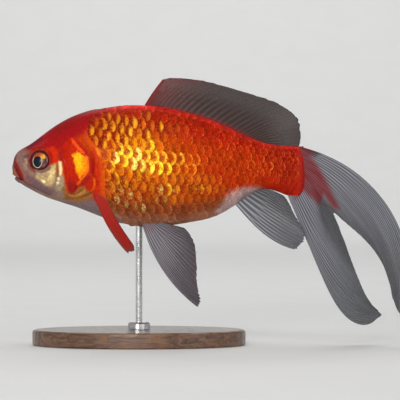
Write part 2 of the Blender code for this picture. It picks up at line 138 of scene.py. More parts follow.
def beside(x, z, line, pieces=LINE_PIECES):
    """Signed distance of places in the side view from a smooth line, positive on its left, and how far along
    it."""
    knots = np.linspace(0, 1, len(line))
    path = smooth_curve(knots, np.array(line, float), np.linspace(0, 1, pieces + 1))
    nearest, signed, share = (np.full(x.shape, value) for value in (1e9, 0.0, 0.0))
    for number, (start, end) in enumerate(zip(path[:-1], path[1:])):
        run_x, run_z = end - start
        off_x, off_z = x - start[0], z - start[1]
        way = np.clip((off_x * run_x + off_z * run_z) / (run_x**2 + run_z**2), 0, 1)
        turned = run_x * off_z - run_z * off_x
        gap = np.hypot(off_x - way * run_x, off_z - way * run_z)
        closer = gap < nearest
        nearest = np.where(closer, gap, nearest)
        signed = np.where(closer, gap * np.where(turned < 0, -1, 1), signed)
        share = np.where(closer, (number + way) / pieces, share)
    return signed, share


def inside(x, z, outline):
    """Signed distance from a closed outline in the side view, positive inside it."""
    nearest = np.full(x.shape, 1e9)
    within = np.zeros(x.shape, bool)
    for (x0, z0), (x1, z1) in zip(outline, outline[1:] + outline[:1]):
        run_x, run_z = x1 - x0, z1 - z0
        way = np.clip(((x - x0) * run_x + (z - z0) * run_z) / (run_x**2 + run_z**2), 0, 1)
        nearest = np.minimum(nearest, np.hypot(x - x0 - way * run_x, z - z0 - way * run_z))
        spans = (z0 > z) != (z1 > z)
        within ^= spans & (x < x0 + (z - z0) * run_x / (run_z if run_z else 1))
    return np.where(within, nearest, -nearest)


# ---- Lines and zones of the head, in the side view ------------------------------------------------

EYE = (-44.1, 82.8)
EYE_SOCKET, EYE_RIM = 4.0, 4.75         # radius of the opening and of the ridge round it
MOUTH = ((-57.2, 76.5), (-54.6, 75.3), (-52.2, 74.0))
UPPER_LIP_FOLD = ((-56.3, 81.9), (-55.3, 79.6), (-53.8, 76.9), (-51.9, 73.9))
JAW_FOLD = ((-52.2, 74.1), (-49.1, 72.0), (-45.5, 70.0), (-41.0, 68.0), (-36.5, 66.7))
CHEEK_EDGE = ((-36.9, 88.2), (-35.1, 85.0), (-33.5, 81.4), (-32.6, 77.8), (-32.4, 74.2), (-33.3, 70.6),
              (-35.6, 67.5))
COVER_EDGE = ((-30.2, 92.7), (-27.9, 90.9), (-25.2, 87.9), (-22.7, 84.9), (-21.7, 81.9), (-21.8, 78.7),
              (-23.3, 76.1), (-25.5, 73.7), (-27.7, 71.1), (-29.5, 68.8))
GILL_SLIT = ((-27.4, 94.0), (-23.9, 90.5), (-21.2, 86.4), (-20.0, 82.8), (-20.0, 79.6), (-20.3, 76.9),
             (-19.0, 74.3), (-18.9, 72.0), (-20.2, 69.4), (-23.0, 67.3), (-27.2, 66.0), (-32.0, 65.7),
             (-37.4, 66.2))
NOSTRILS = ((-50.9, 84.9, 0.55, 0.75), (-49.5, 85.2, 0.38, 0.5))       # place, radius and depth
WRINKLES = ((6.6, 0.14), (7.7, 0.13), (8.9, 0.11), (10.1, 0.08))       # radius round the eye, and depth
SOCKET_DEPTH = 2.6
# Smaller ridges and grooves: height, width, how much painted shade darkens them, and the line.
CREASES = (
    (0.22, 0.45, 0.0, ((-34.7, 82.6), (-34.6, 79.2), (-34.8, 75.6))),
    (-0.18, 0.40, 0.3, ((-36.1, 81.6), (-35.9, 77.9), (-36.5, 73.8))),
    (0.22, 0.50, 0.0, ((-29.6, 92.6), (-27.0, 89.4), (-24.2, 86.2))),
    (-0.20, 0.32, 0.35, ((-33.0, 70.0), (-29.5, 67.9), (-25.5, 69.3), (-22.6, 71.6))),
    (0.16, 0.40, 0.0, ((-33.4, 69.3), (-29.3, 67.2), (-25.2, 68.6), (-22.2, 70.9))),
    (-0.20, 0.32, 0.35, ((-34.5, 68.4), (-29.5, 66.4), (-24.6, 67.8), (-21.4, 70.4))),
    (-0.12, 0.40, 0.2, ((-44.0, 76.9), (-41.8, 75.9), (-39.8, 76.2))),
    (-0.10, 0.35, 0.15, ((-42.6, 75.3), (-40.6, 74.9), (-38.8, 75.6))),
    (0.14, 0.70, 0.0, ((-43.4, 73.4), (-40.4, 73.2), (-37.8, 74.6))),
)
COAT_EDGE = ((-18.5, 110.0), (-20.5, 104.5), (-23.6, 101.5), (-24.2, 97.5), (-23.2, 92.5), (-19.6, 88.5),
             (-17.4, 83.0), (-16.0, 77.0), (-15.8, 70.0), (-14.6, 64.5), (-11.5, 59.0), (-7.0, 52.0))
COAT_DEPTH = 0.35             # how far the skin lies below the plain body where it carries scales


def relief(x, z):
    """Height of the skin over the plain body, as a sum of bumps and steps of the distance from the lines
    above, and how much painted shade each place gets in the eye socket, wrinkles, mouth, lips, nostrils,
    folds and creases, from 0 to 1."""
    eye_x, eye_z = x - EYE[0], z - EYE[1]
    from_eye = np.hypot(eye_x, eye_z)
    below_eye = ease(-eye_z, -1.0, 3.0)
    height = -SOCKET_DEPTH * ease(-from_eye, -EYE_SOCKET - 0.35, -EYE_SOCKET + 0.35)
    height += 0.42 * bump(from_eye - EYE_RIM, 0.42) - 0.16 * bump(from_eye - 5.7, 0.45)
    fold = ease(-from_eye, -EYE_SOCKET - 0.3, -EYE_SOCKET + 0.1)
    for radius, depth in WRINKLES:
        waver = radius + 0.35 * np.sin(3.1 * eye_x + 7 * radius)
        wrinkle = bump(from_eye - waver, 0.32) * below_eye * ease(eye_x, -5, 0) * ease(-eye_x, -8.5, -6.0)
        height -= depth * wrinkle
        fold += 2.2 * depth * wrinkle
    fold += 0.45 * bump(from_eye - 5.7, 0.5)

    mouth, along_mouth = beside(x, z, MOUTH)
    open_mouth = ease(-along_mouth, -1.0, -0.85)
    height += open_mouth * (0.45 * bump(np.abs(mouth) - 0.85, 0.55) - 1.3 * bump(mouth, 0.34))
    fold += open_mouth * bump(mouth, 0.42)
    lip, along_lip = beside(x, z, UPPER_LIP_FOLD)
    ends = ease(along_lip, 0.0, 0.15) * ease(-along_lip, -1.0, -0.92)
    height += ends * (0.30 * bump(lip + 1.2, 0.9) - 0.50 * bump(lip, 0.38) + 0.16 * bump(lip - 1.0, 0.8))
    fold += 0.7 * ends * bump(lip, 0.42)
    jaw, along_jaw = beside(x, z, JAW_FOLD)
    ends = ease(-along_jaw, -1.0, -0.8)
    height += ends * (-0.32 * bump(jaw, 0.4) + 0.14 * bump(jaw + 1.0, 0.8))
    fold += 0.5 * ends * bump(jaw, 0.45)

    for pit_x, pit_z, radius, depth in NOSTRILS:
        from_pit = np.hypot(x - pit_x, z - pit_z)
        height += 0.22 * bump(from_pit - radius - 0.35, 0.3) - depth * bump(from_pit, radius)
        fold += 0.5 * bump(from_pit, radius)

    cheek, along_cheek = beside(x, z, CHEEK_EDGE)
    ends = ease(along_cheek, 0.0, 0.2) * ease(-along_cheek, -1.0, -0.85)
    height += ends * (0.20 * bump(cheek + 1.3, 1.3) - 0.34 * bump(cheek, 0.4) - 0.1 * bump(cheek - 1.4, 0.5))
    fold += 0.25 * ends * bump(cheek, 0.45)

    cover, along_cover = beside(x, z, COVER_EDGE)
    ends = ease(along_cover, 0.0, 0.12) * ease(-along_cover, -1.0, -0.9)
    plate = ease(-cover, -0.25, 0.25) * ease(cover, -9.0, -4.5)
    height += ends * (0.50 * plate + 0.12 * bump(cover + 0.6, 0.5))
    fold += 0.40 * ends * bump(cover - 0.35, 0.35)
    slit, along_slit = beside(x, z, GILL_SLIT, GILL_PIECES)
    ends = ease(along_slit, 0.0, 0.1) * ease(-along_slit, -1.0, -0.85)
    height += ends * (0.30 * bump(slit + 0.9, 0.7) - 0.50 * bump(slit - 0.1, 0.42)
                      + 0.22 * bump(slit - 1.6, 1.0))
    fold += 0.38 * ends * bump(slit - 0.1, 0.4)
    for rise, width, dark, line in CREASES:
        crease, along_crease = beside(x, z, line)
        ends = ease(along_crease, 0.0, 0.2) * ease(-along_crease, -1.0, -0.8)
        height += ends * rise * bump(crease, width)
        fold += dark * ends * bump(crease, width)
    coat, _ = beside(x, z, COAT_EDGE, COAT_PIECES)
    return height - COAT_DEPTH * ease(coat, -0.6, 2.0), np.clip(fold, 0, 1)


# Colour zones, painted in this order: colour, how soft the edge is, how ragged, how strong, and the outline.
FLANK_ORANGE = (0.54, 0.048, 0.003)  # the colour under all the zones
Zone = namedtuple("Zone", "name colour soft ragged strength outline")
ZONES = (
    Zone("back", (0.50, 0.014, 0.004), 5.0, 1.5, 1.0,
         ((-35.6, 90.0), (-17.6, 97.7), (9.5, 96.8), (34.2, 88.7), (55.4, 84.2), (90.0, 84.2), (90.0, 125.0),
          (-35.6, 128.2))),
    Zone("peduncle", (0.38, 0.011, 0.005), 9.0, 1.5, 0.9,
         ((55.4, 50.0), (90.0, 50.0), (90.0, 120.0), (55.4, 120.0))),
    # The crest is partly the back's own bright red line and partly painted light, lifting the top of the back
    # out of its shade.
    Zone("crest", (0.95, 0.035, 0.028), 0.9, 0.4, 0.85,
         ((-14.0, 105.6), (2.0, 106.6), (22.0, 102.8), (40.0, 96.3), (49.0, 92.2), (56.0, 89.6), (66.0, 88.2),
          (78.0, 88.0), (78.0, 96.0), (40.0, 108.0), (2.0, 116.0), (-14.0, 116.0))),
    Zone("tail end", (0.24, 0.008, 0.010), 1.2, 0.4, 0.9,
         ((71.6, 60.0), (72.6, 68.0), (73.2, 80.0), (72.6, 88.0), (72.0, 95.0), (80.0, 95.0), (80.0, 60.0))),
    Zone("rear flank", (0.47, 0.020, 0.003), 8.0, 1.0, 0.7,
         ((28.0, 70.0), (60.0, 70.0), (60.0, 82.0), (28.0, 86.0))),
    # The gold flank and the gold heart are partly the fish's own gold and partly a painted highlight.
    Zone("gold flank", (0.76, 0.145, 0.004), 8.0, 1.2, 0.85,
         ((-14.0, 76.0), (-4.0, 70.5), (10.0, 72.0), (20.0, 78.0), (12.0, 90.0), (0.0, 97.0), (-12.0, 99.0),
          (-18.0, 92.0))),
    Zone("gold heart", (0.92, 0.35, 0.005), 4.0, 2.5, 0.8,
         ((-14.0, 88.2), (-9.9, 93.2), (-5.4, 95.0), (4.0, 93.2), (9.5, 86.9), (9.9, 79.7), (2.2, 76.5),
          (-5.9, 78.3), (-12.2, 80.5))),
    Zone("front flank", (0.64, 0.080, 0.004), 3.5, 0.8, 0.7,
         ((-17.1, 94.5), (-8.6, 96.8), (-9.0, 66.0), (-15.8, 66.0))),
    Zone("belly", (0.28, 0.062, 0.020), 3.2, 1.2, 0.95,
         ((-18.4, 67.0), (-4.0, 65.2), (18.4, 64.2), (33.4, 65.9), (40.4, 68.5), (45.5, 40.0),
          (-30.0, 40.0))),
    Zone("low belly", (0.40, 0.19, 0.11), 3.0, 1.0, 0.9,
         ((-20.0, 61.0), (0.0, 58.0), (20.0, 57.5), (34.0, 61.0), (45.5, 40.0), (-30.0, 40.0))),
    Zone("vent", (0.48, 0.34, 0.32), 1.8, 1.0, 1.0,
         ((37.4, 63.5), (39.1, 67.0), (44.6, 70.2), (52.2, 71.1), (55.8, 69.8), (50.9, 60.2), (40.0, 55.0),
          (34.0, 60.0))),
    Zone("chest", (0.21, 0.145, 0.148), 1.6, 0.7, 1.0,
         ((-39.1, 66.2), (-32.9, 67.0), (-26.6, 65.2), (-21.2, 66.2), (-15.8, 61.0), (-7.7, 55.4),
          (-8.6, 42.2), (-50.0, 45.0))),
    Zone("crown", (0.34, 0.006, 0.008), 1.6, 0.6, 1.0,
         ((-60.8, 97.7), (-53.6, 91.8), (-51.3, 88.2), (-47.7, 87.3), (-44.1, 88.2), (-40.1, 87.8),
          (-36.5, 86.9), (-33.8, 87.8), (-31.1, 91.4), (-26.6, 93.6), (-17.6, 103.0), (-17.6, 128.2),
          (-59.9, 128.2))),
    Zone("nape", (0.22, 0.004, 0.004), 4.0, 1.0, 0.8,
         ((-39.1, 93.6), (-32.9, 96.3), (-24.8, 101.7), (-19.4, 104.9), (-8.6, 107.5), (-18.0, 121.0),
          (-45.5, 120.2))),
    Zone("shoulder", (0.52, 0.022, 0.003), 1.2, 0.6, 1.0,
         ((-20.2, 89.5), (-18.4, 86.9), (-16.7, 83.2), (-16.4, 76.0), (-17.1, 68.9), (-19.4, 66.6),
          (-22.9, 68.9), (-23.9, 72.9), (-20.7, 76.5), (-20.7, 83.2))),
    # Painted highlight: a bright streak on the edge of the shoulder.
    Zone("shoulder highlight", (0.95, 0.26, 0.020), 0.5, 0.3, 0.8,
         ((-19.1, 88.7), (-18.0, 88.2), (-16.7, 85.5), (-17.1, 84.2), (-18.3, 86.0))),
    Zone("snout", (0.26, 0.105, 0.085), 1.3, 0.5, 1.0,
         ((-62.6, 83.2), (-59.0, 67.0), (-53.6, 63.0), (-42.8, 63.0), (-45.9, 75.2), (-48.1, 81.0),
          (-48.6, 86.9), (-51.8, 89.1), (-56.2, 87.8))),
    Zone("snout grey", (0.21, 0.130, 0.115), 1.0, 0.5, 0.8,
         ((-53.6, 86.9), (-50.9, 86.6), (-50.4, 83.2), (-51.3, 80.5), (-53.1, 81.9), (-54.5, 84.2))),
    Zone("snout pale", (0.27, 0.23, 0.17), 0.9, 0.4, 0.8,
         ((-51.8, 81.7), (-49.7, 81.7), (-49.5, 78.8), (-51.1, 78.1))),
    Zone("snout pink", (0.60, 0.32, 0.22), 0.5, 0.3, 0.9,
         ((-50.8, 83.7), (-49.7, 83.7), (-49.5, 81.5), (-50.3, 81.2))),
    Zone("nose", (0.17, 0.012, 0.026), 0.7, 0.3, 0.9,
         ((-59.0, 84.2), (-55.6, 86.4), (-55.0, 83.2), (-55.6, 81.0), (-59.0, 80.5))),
    Zone("brow", (0.085, 0.009, 0.022), 1.8, 0.5, 0.85,
         ((-51.3, 88.7), (-49.5, 91.4), (-45.5, 94.0), (-43.2, 92.7), (-46.4, 89.8), (-49.1, 87.8))),
    Zone("upper lip", (0.26, 0.10, 0.050), 0.5, 0.2, 0.9,
         ((-59.9, 80.8), (-55.8, 79.9), (-55.4, 77.9), (-55.5, 75.6), (-56.7, 75.6), (-59.9, 76.0))),
    Zone("lip fold", (0.23, 0.014, 0.012), 0.5, 0.2, 0.95,
         ((-56.0, 82.4), (-54.6, 82.1), (-53.3, 79.7), (-51.6, 76.0), (-51.5, 73.8), (-53.1, 74.2),
          (-54.8, 77.2), (-55.7, 79.9))),
    Zone("lip red", (0.29, 0.014, 0.009), 0.4, 0.2, 0.9,
         ((-54.1, 78.5), (-53.0, 78.6), (-51.8, 75.8), (-52.2, 74.4), (-53.4, 76.0))),
    Zone("jaw", (0.20, 0.115, 0.112), 0.6, 0.3, 0.9,
         ((-57.1, 75.8), (-53.6, 74.7), (-50.4, 72.7), (-45.5, 69.8), (-46.4, 65.2), (-55.4, 68.9))),
    Zone("low cheek", (0.26, 0.17, 0.125), 1.1, 0.5, 1.0,
         ((-49.1, 78.8), (-46.4, 77.9), (-42.8, 77.6), (-34.6, 76.0), (-32.9, 71.5), (-32.9, 65.7),
          (-35.6, 62.6), (-41.9, 62.6), (-46.4, 69.3), (-48.6, 73.8))),
    Zone("cheek", (0.54, 0.38, 0.17), 0.8, 0.9, 1.0,
         ((-45.5, 76.7), (-40.1, 78.3), (-39.4, 81.0), (-36.5, 81.7), (-36.5, 76.5), (-37.1, 73.4),
          (-39.1, 71.5), (-41.9, 72.0), (-44.1, 73.8), (-45.9, 75.4))),
    # Painted highlight on the cheek.
    Zone("cheek highlight", (0.88, 0.66, 0.30), 0.8, 1.2, 0.85,
         ((-39.6, 79.2), (-37.4, 79.9), (-37.1, 77.0), (-38.5, 74.9), (-40.3, 74.2), (-39.8, 77.0))),
    # Painted shade in the groove in front of the cheek's bright ridge.
    Zone("cheek groove shade", (0.20, 0.14, 0.055), 0.55, 0.3, 0.95,
         ((-36.6, 81.0), (-35.6, 81.7), (-35.5, 76.0), (-36.1, 73.6), (-37.1, 72.9), (-36.6, 76.5))),
    Zone("cheek rear", (0.38, 0.28, 0.16), 0.8, 0.4, 0.9,
         ((-35.6, 75.6), (-33.4, 76.5), (-32.9, 71.1), (-34.9, 69.3), (-36.9, 70.2), (-36.5, 72.9))),
    # Painted glint on the cheek.
    Zone("cheek glint", (1.0, 0.85, 0.50), 0.4, 0.2, 1.0,
         ((-43.4, 74.1), (-42.2, 74.3), (-41.3, 73.3), (-42.5, 72.8))),
    Zone("upper spot", (1.0, 0.76, 0.50), 0.5, 0.2, 1.0,
         ((-36.3, 75.2), (-35.3, 75.4), (-35.0, 74.2), (-36.0, 73.9))),
    Zone("lower spot", (0.90, 0.68, 0.50), 0.4, 0.2, 0.9,
         ((-36.6, 73.4), (-35.5, 73.6), (-35.3, 72.5), (-36.4, 72.1))),
    Zone("cheek tint", (0.16, 0.080, 0.105), 0.9, 0.5, 0.85,
         ((-50.0, 76.5), (-47.7, 76.0), (-45.0, 73.8), (-41.9, 71.3), (-37.8, 70.0), (-36.5, 68.2),
          (-40.5, 67.5), (-44.6, 69.5), (-48.1, 72.2), (-50.4, 75.2))),
    Zone("under cover", (0.29, 0.11, 0.024), 0.9, 0.5, 1.0,
         ((-33.8, 70.7), (-31.1, 69.3), (-28.4, 69.3), (-25.7, 71.8), (-22.9, 71.5), (-20.2, 68.9),
          (-20.7, 66.6), (-24.8, 64.8), (-28.4, 64.4), (-32.9, 65.2))),
    Zone("golden ray", (0.48, 0.21, 0.050), 0.45, 0.3, 0.85,
         ((-31.1, 67.7), (-28.4, 67.0), (-26.3, 68.0), (-23.7, 70.2), (-23.1, 68.7), (-26.1, 66.4),
          (-29.2, 65.7))),
    Zone("behind eye", (0.62, 0.020, 0.003), 1.0, 0.4, 1.0,
         ((-40.1, 88.2), (-38.2, 89.3), (-36.5, 87.8), (-35.8, 84.2), (-36.0, 81.7), (-38.9, 81.4),
          (-39.8, 84.2))),
    Zone("cover", (0.48, 0.013, 0.003), 0.7, 0.3, 1.0,
         ((-36.0, 87.8), (-33.8, 89.5), (-30.2, 92.9), (-27.4, 92.7), (-23.9, 88.0), (-21.8, 85.0),
          (-21.4, 80.5), (-21.6, 77.4), (-24.3, 73.4), (-27.4, 70.0), (-29.7, 68.0), (-31.5, 69.8),
          (-32.6, 75.2), (-33.8, 81.5), (-35.6, 82.8))),
    Zone("cover front", (0.36, 0.009, 0.006), 0.8, 0.3, 0.8,
         ((-36.0, 83.2), (-35.6, 87.8), (-33.3, 89.5), (-32.7, 85.5), (-33.1, 81.7), (-34.9, 82.4))),
    # Painted highlight: the bright streak along the ridge at the back of the cheek.
    Zone("streak", (1.0, 0.74, 0.36), 0.6, 0.2, 1.0,
         ((-35.4, 82.4), (-34.2, 82.2), (-33.9, 78.8), (-34.2, 76.0), (-35.1, 76.1), (-35.4, 79.2))),
    Zone("cover glow", (0.50, 0.020, 0.003), 1.3, 0.4, 0.8,
         ((-31.1, 90.0), (-28.8, 90.0), (-27.9, 87.3), (-29.2, 84.2), (-29.2, 78.8), (-30.2, 76.0),
          (-31.1, 81.0))),
    # Painted highlight along the gill cover's upper edge.
    Zone("cover ridge highlight", (0.95, 0.085, 0.008), 0.5, 0.2, 0.95,
         ((-29.7, 92.7), (-28.3, 91.8), (-25.9, 88.9), (-23.6, 86.2), (-24.5, 85.5), (-27.2, 88.0),
          (-29.3, 90.7))),
    Zone("cover gold", (0.92, 0.24, 0.004), 0.6, 1.0, 1.0,
         ((-29.4, 85.5), (-27.4, 86.6), (-24.8, 85.3), (-22.6, 84.0), (-22.3, 81.0), (-22.6, 78.3),
          (-24.7, 76.2), (-25.7, 74.5), (-26.9, 75.4), (-27.8, 78.8), (-28.5, 81.9))),
    Zone("cover yellow", (0.88, 0.52, 0.006), 0.9, 1.6, 0.95,
         ((-28.8, 84.6), (-27.0, 86.0), (-25.2, 84.8), (-24.8, 81.9), (-24.8, 78.8), (-26.3, 78.1),
          (-27.7, 80.5))),
    # Painted highlight along the gill cover's rear and lower edge.
    Zone("cover rim highlight", (1.0, 0.15, 0.012), 0.45, 0.15, 0.9,
         ((-23.1, 85.1), (-22.0, 84.4), (-21.7, 77.9), (-24.2, 74.8), (-26.9, 71.5), (-27.5, 72.1),
          (-25.1, 75.2), (-22.7, 78.4), (-22.4, 83.2))),
    Zone("cover corner", (0.30, 0.010, 0.008), 0.8, 0.3, 1.0,
         ((-31.5, 74.2), (-28.8, 73.6), (-27.0, 71.7), (-27.9, 69.3), (-29.7, 67.5), (-31.3, 69.3))),
    Zone("gill edge", (0.42, 0.008, 0.007), 0.6, 0.2, 1.0,
         ((-25.7, 90.9), (-22.9, 88.0), (-20.9, 85.5), (-19.4, 81.9), (-19.4, 77.0), (-21.3, 76.5),
          (-21.3, 81.0), (-21.6, 84.6), (-23.6, 87.1))),
    Zone("gill flap", (0.44, 0.016, 0.003), 0.6, 0.3, 1.0,
         ((-24.8, 72.2), (-22.5, 75.6), (-19.8, 76.5), (-18.7, 74.2), (-18.9, 70.7), (-20.7, 68.2),
          (-22.9, 69.8))),
    # Painted highlight along the rim of the gill flap.
    Zone("flap rim highlight", (0.85, 0.12, 0.006), 0.4, 0.2, 0.9,
         ((-19.9, 75.3), (-19.0, 74.8), (-18.8, 71.5), (-20.3, 68.6), (-21.2, 69.1), (-19.7, 71.5))),
    # Painted shade in the fold of the gill flap.
    Zone("flap fold shade", (0.30, 0.008, 0.010), 0.5, 0.2, 0.85,
         ((-23.9, 75.0), (-21.6, 76.7), (-20.9, 75.2), (-24.5, 71.4), (-26.1, 71.3))),
    Zone("eye ring", (0.13, 0.014, 0.016), 0.45, 0.2, 1.0,
         ((-39.0, 82.8), (-39.7, 85.3), (-41.6, 87.2), (-44.1, 87.9), (-46.6, 87.2), (-48.5, 85.3),
          (-49.2, 82.8), (-48.5, 80.3), (-46.6, 78.4), (-44.1, 77.7), (-41.6, 78.4), (-39.7, 80.3))),
    Zone("eye corner", (0.34, 0.010, 0.010), 0.7, 0.2, 0.8,
         ((-40.7, 86.9), (-39.1, 86.4), (-38.5, 83.2), (-39.4, 80.5), (-40.5, 81.5))),
    Zone("lower lid", (0.27, 0.14, 0.10), 0.5, 0.2, 0.95,
         ((-46.6, 79.6), (-44.6, 78.7), (-41.9, 78.9), (-39.9, 80.5), (-38.9, 79.4), (-40.8, 77.4),
          (-43.6, 77.0), (-46.2, 77.9))),
    # Painted highlight along the edge of the lower lid.
    Zone("lid edge highlight", (0.66, 0.47, 0.34), 0.35, 0.15, 0.9,
         ((-45.9, 77.7), (-42.8, 77.2), (-40.1, 78.4), (-39.8, 77.7), (-42.6, 76.5), (-45.7, 77.0))),
)


# ---- Meshes --------------------------------------------------------------------------------------

def make_piece(name, points, faces, material, replaced=(), maps=None, values=None):
    """Smooth piece from points in millimetres, with maps given per face corner and values given per point."""
    mesh = bpy.data.meshes.new(name)
    mesh.from_pydata((np.asarray(points, float).reshape(-1, 3) * MM).tolist(), [], faces)
    mesh.shade_smooth()
    for map_name, corners in (maps or {}).items():
        mesh.uv_layers.new(name=map_name).data.foreach_set("uv", np.asarray(corners, np.float32).ravel())
    for value_name, numbers in (values or {}).items():
        attribute = mesh.attributes.new(value_name, "FLOAT", "POINT")
        attribute.data.foreach_set("value", np.asarray(numbers, np.float32).ravel())
    mesh.materials.append(material)
    piece = bpy.data.objects.new(name, mesh)
    bpy.context.collection.objects.link(piece)
    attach(piece, "root")
    if replaced:
        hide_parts(*replaced)


def grid_quads(rows, columns, start=0, closed=False, flip=False):
    """Corners of the quads over a grid numbered row by row, and each corner's row and column, which run on
    past the join of a closed ring."""
    steps = columns if closed else columns - 1
    row, column = np.meshgrid(np.arange(rows - 1), np.arange(steps), indexing="ij")
    places = [(row, column), (row + 1, column), (row + 1, column + 1), (row, column + 1)]
    if flip:
        places = places[::-1]
    quads = np.stack([r * columns + c % columns for r, c in places], axis=-1).reshape(-1, 4) + start
    at = np.stack([np.stack(place, axis=-1) for place in places], axis=2).reshape(-1, 2)
    return quads, at


def end_fan(middle, first, count, outward=False):
    """Triangles from a middle point to a ring of points numbered on from the first."""
    around = np.arange(count)
    here, after = first + around, first + (around + 1) % count
    return np.stack([0 * around + middle] + ([after, here] if outward else [here, after]), axis=1)


def zone_values(x, z):
    """Signed distance of places from each colour zone's outline, kept on the mesh for the markings."""
    return {zone.name: inside(x, z, zone.outline) for zone in ZONES}


# ---- Skin ----------------------------------------------------------------------------------------

RING_SPACING = ((-56.7, -56.3, -54.0, -18.0, -12.0, 66.0, 75.2), (0.010, 0.12, 0.21, 0.22, 0.85, 0.85, 0.30))
SKIN_SIDES = 296


def ring_places():
    """Places of the skin's rings: steps as long as RING_SPACING says, close together over the head."""
    fine = np.linspace(*np.array(RING_SPACING[0])[[0, -1]], 20001)
    count = np.concatenate([[0], np.cumsum(np.diff(fine) / np.interp(fine[:-1], *RING_SPACING))])
    return np.interp(np.linspace(0, count[-1], int(count[-1]) + 1), count, fine)


def make_skin(material):
    """One closed skin: rings of the plain body moved along their normals by the relief."""
    x = ring_places()[1:]
    turn = np.arange(SKIN_SIDES) * 2 * math.pi / SKIN_SIDES
    x[-1] = BODY_END - 0.02
    x, turn = x[:, None], turn[None, :]
    plain = body_point(x, turn)
    height, fold = relief(plain[..., 0], plain[..., 2])
    wrapped = np.concatenate([plain[:, -1:], plain, plain[:, :1]], axis=1)
    normal = np.cross(np.gradient(plain, axis=0), np.gradient(wrapped, axis=1)[:, 1:-1])
    points = plain + unit(normal) * height[..., None]
    rows, columns = plain.shape[:2]
    tip = (SNOUT, 0, STATIONS[0, 1])
    tail = points[-1].mean(axis=0)
    quads, at = grid_quads(rows, columns, start=1, closed=True)
    last = 1 + (rows - 1) * columns
    front, rear = end_fan(0, 1, columns), end_fan(last + columns, last, columns, outward=True)
    faces = front.tolist() + quads.tolist() + rear.tolist()
    row_share, column_share = 1 / (rows + 1), 1 / columns
    here = np.arange(columns)

    def end_map(end, inward, across):
        """Map corners of one end's triangles: the middle at the map's edge, the ring one row inside it."""
        reach = (end, end + inward, end + inward)
        return np.stack([np.stack([np.full(columns, along), place * column_share], axis=1)
                         for along, place in zip(reach, across)], axis=1)

    front_map = end_map(0, row_share, (here + 0.5, here, here + 1))
    rear_map = end_map(1, -row_share, (here + 0.5, here + 1, here))
    body_map = (at + (1, 0)) * (row_share, column_share)
    corners = np.concatenate([front_map.reshape(-1, 2), body_map.reshape(-1, 2), rear_map.reshape(-1, 2)])
    points = np.concatenate([[tip], points.reshape(-1, 3), [tail]])
    values = zone_values(points[:, 0], points[:, 2])
    values["Fold shade"] = np.concatenate([[0], fold.ravel(), [0]])
    make_piece("skin", points, faces, material,
               ("head", "upper_jaw", "lower_jaw", "gill_cover_left", "gill_cover_right", "trunk",
                "tail_stem"),
               {"OFBake": corners}, values)


# ---- Scales --------------------------------------------------------------------------------------

LATERAL_LINE = ((-24.0, 93.0), (-12.7, 89.6), (-1.4, 85.9), (11.0, 84.0), (25.0, 83.2), (45.0, 81.4),
                (76.0, 79.6))
COLUMN_PITCH = ((-24.0, 5.0, 20.0, 35.0, 50.0, 74.0), (3.8, 3.9, 3.7, 3.1, 2.9, 2.4))
ROW_PITCH = ((-24.0, 0.0, 10.0, 30.0, 45.0, 60.0, 74.0), (4.5, 4.8, 4.8, 4.3, 3.6, 3.1, 2.9))
SCALE_RINGS, SCALE_SIDES = (0.45, 0.80, 1.0), 12
SKIRT_REACH = 0.985                  # the turned-down edge stands this share out from the middle
SCALE_FRONT, SCALE_REAR, SCALE_HALF = 0.95, 0.68, 0.68      # reach of a scale, as shares of its pitches
SCALE_RISE, SCALE_EDGE = 0.34, 0.30  # rise of a scale from end to end, and its thickness
SIZE_CHANCE, TWIST_CHANCE, LEAN_CHANCE = 0.05, 5, 0.022     # how far scales differ: share, degrees, slope
# Sparks are painted highlights on a few random scales.
SPARK_CHANCE, SPARK = 0.05, 0.30     # share of the scales that catch the light alone, and how much
CREST_BAND, BELLY_BAND = (0.5, 4.0), (3.0, 11.0)            # near the back and the belly scales lie flatter
COAT_START, SCALES_END = 0.6, 71.0   # distance behind the coat's front edge, and place of the last scale
FROM_BACK, FROM_BELLY = 0.6, 0.2     # distance of the outermost scales' middles from the back and the belly
SCALE_PLACES, SCALE_ROWS = (-24.0, 74.0), (-11, 13)         # along the body, and rows counted from the line
ARC_PLACES, ARC_TURNS, ARC_REACH, ARC_STEPS = 240, 420, 60, 481      # size of the table of distances
RELIEF_LEFT = ((-24, 15, 50), (1.0, 0.85, 0.6))             # places, and the relief of the scales there
SCALE_SEED = 7
BAKE_PATCH = 0.0015                  # half the width of a scale's patch on the map of the whole body
# Where the scales gleam, partly with their own gold and partly with a painted highlight: place, reach along
# and up, and strength.
GLEAMS = (
    (-8.0, 87.5, 6.5, 5.5, 0.95),
    (-1.0, 84.0, 8.0, 6.0, 1.1),
    (8.0, 80.5, 7.0, 4.2, 0.8),
    (-0.9, 80.2, 1.8, 1.8, 1.2),
    (-13.5, 81.0, 3.0, 6.0, 0.7),
    (-12.5, 73.5, 3.0, 5.0, 0.65),
    (6.0, 88.5, 5.0, 3.0, 0.45),
    (18.0, 81.5, 8.0, 4.5, 0.55),
    (-11.5, 67.5, 5.0, 3.0, 0.55),
    (11.5, 69.0, 2.2, 3.0, 0.8),
    (30.0, 81.5, 10.0, 4.0, 0.38),
    (52.0, 81.5, 9.0, 3.0, 0.48),
    (-10.0, 98.5, 11.0, 5.5, 0.55),
)
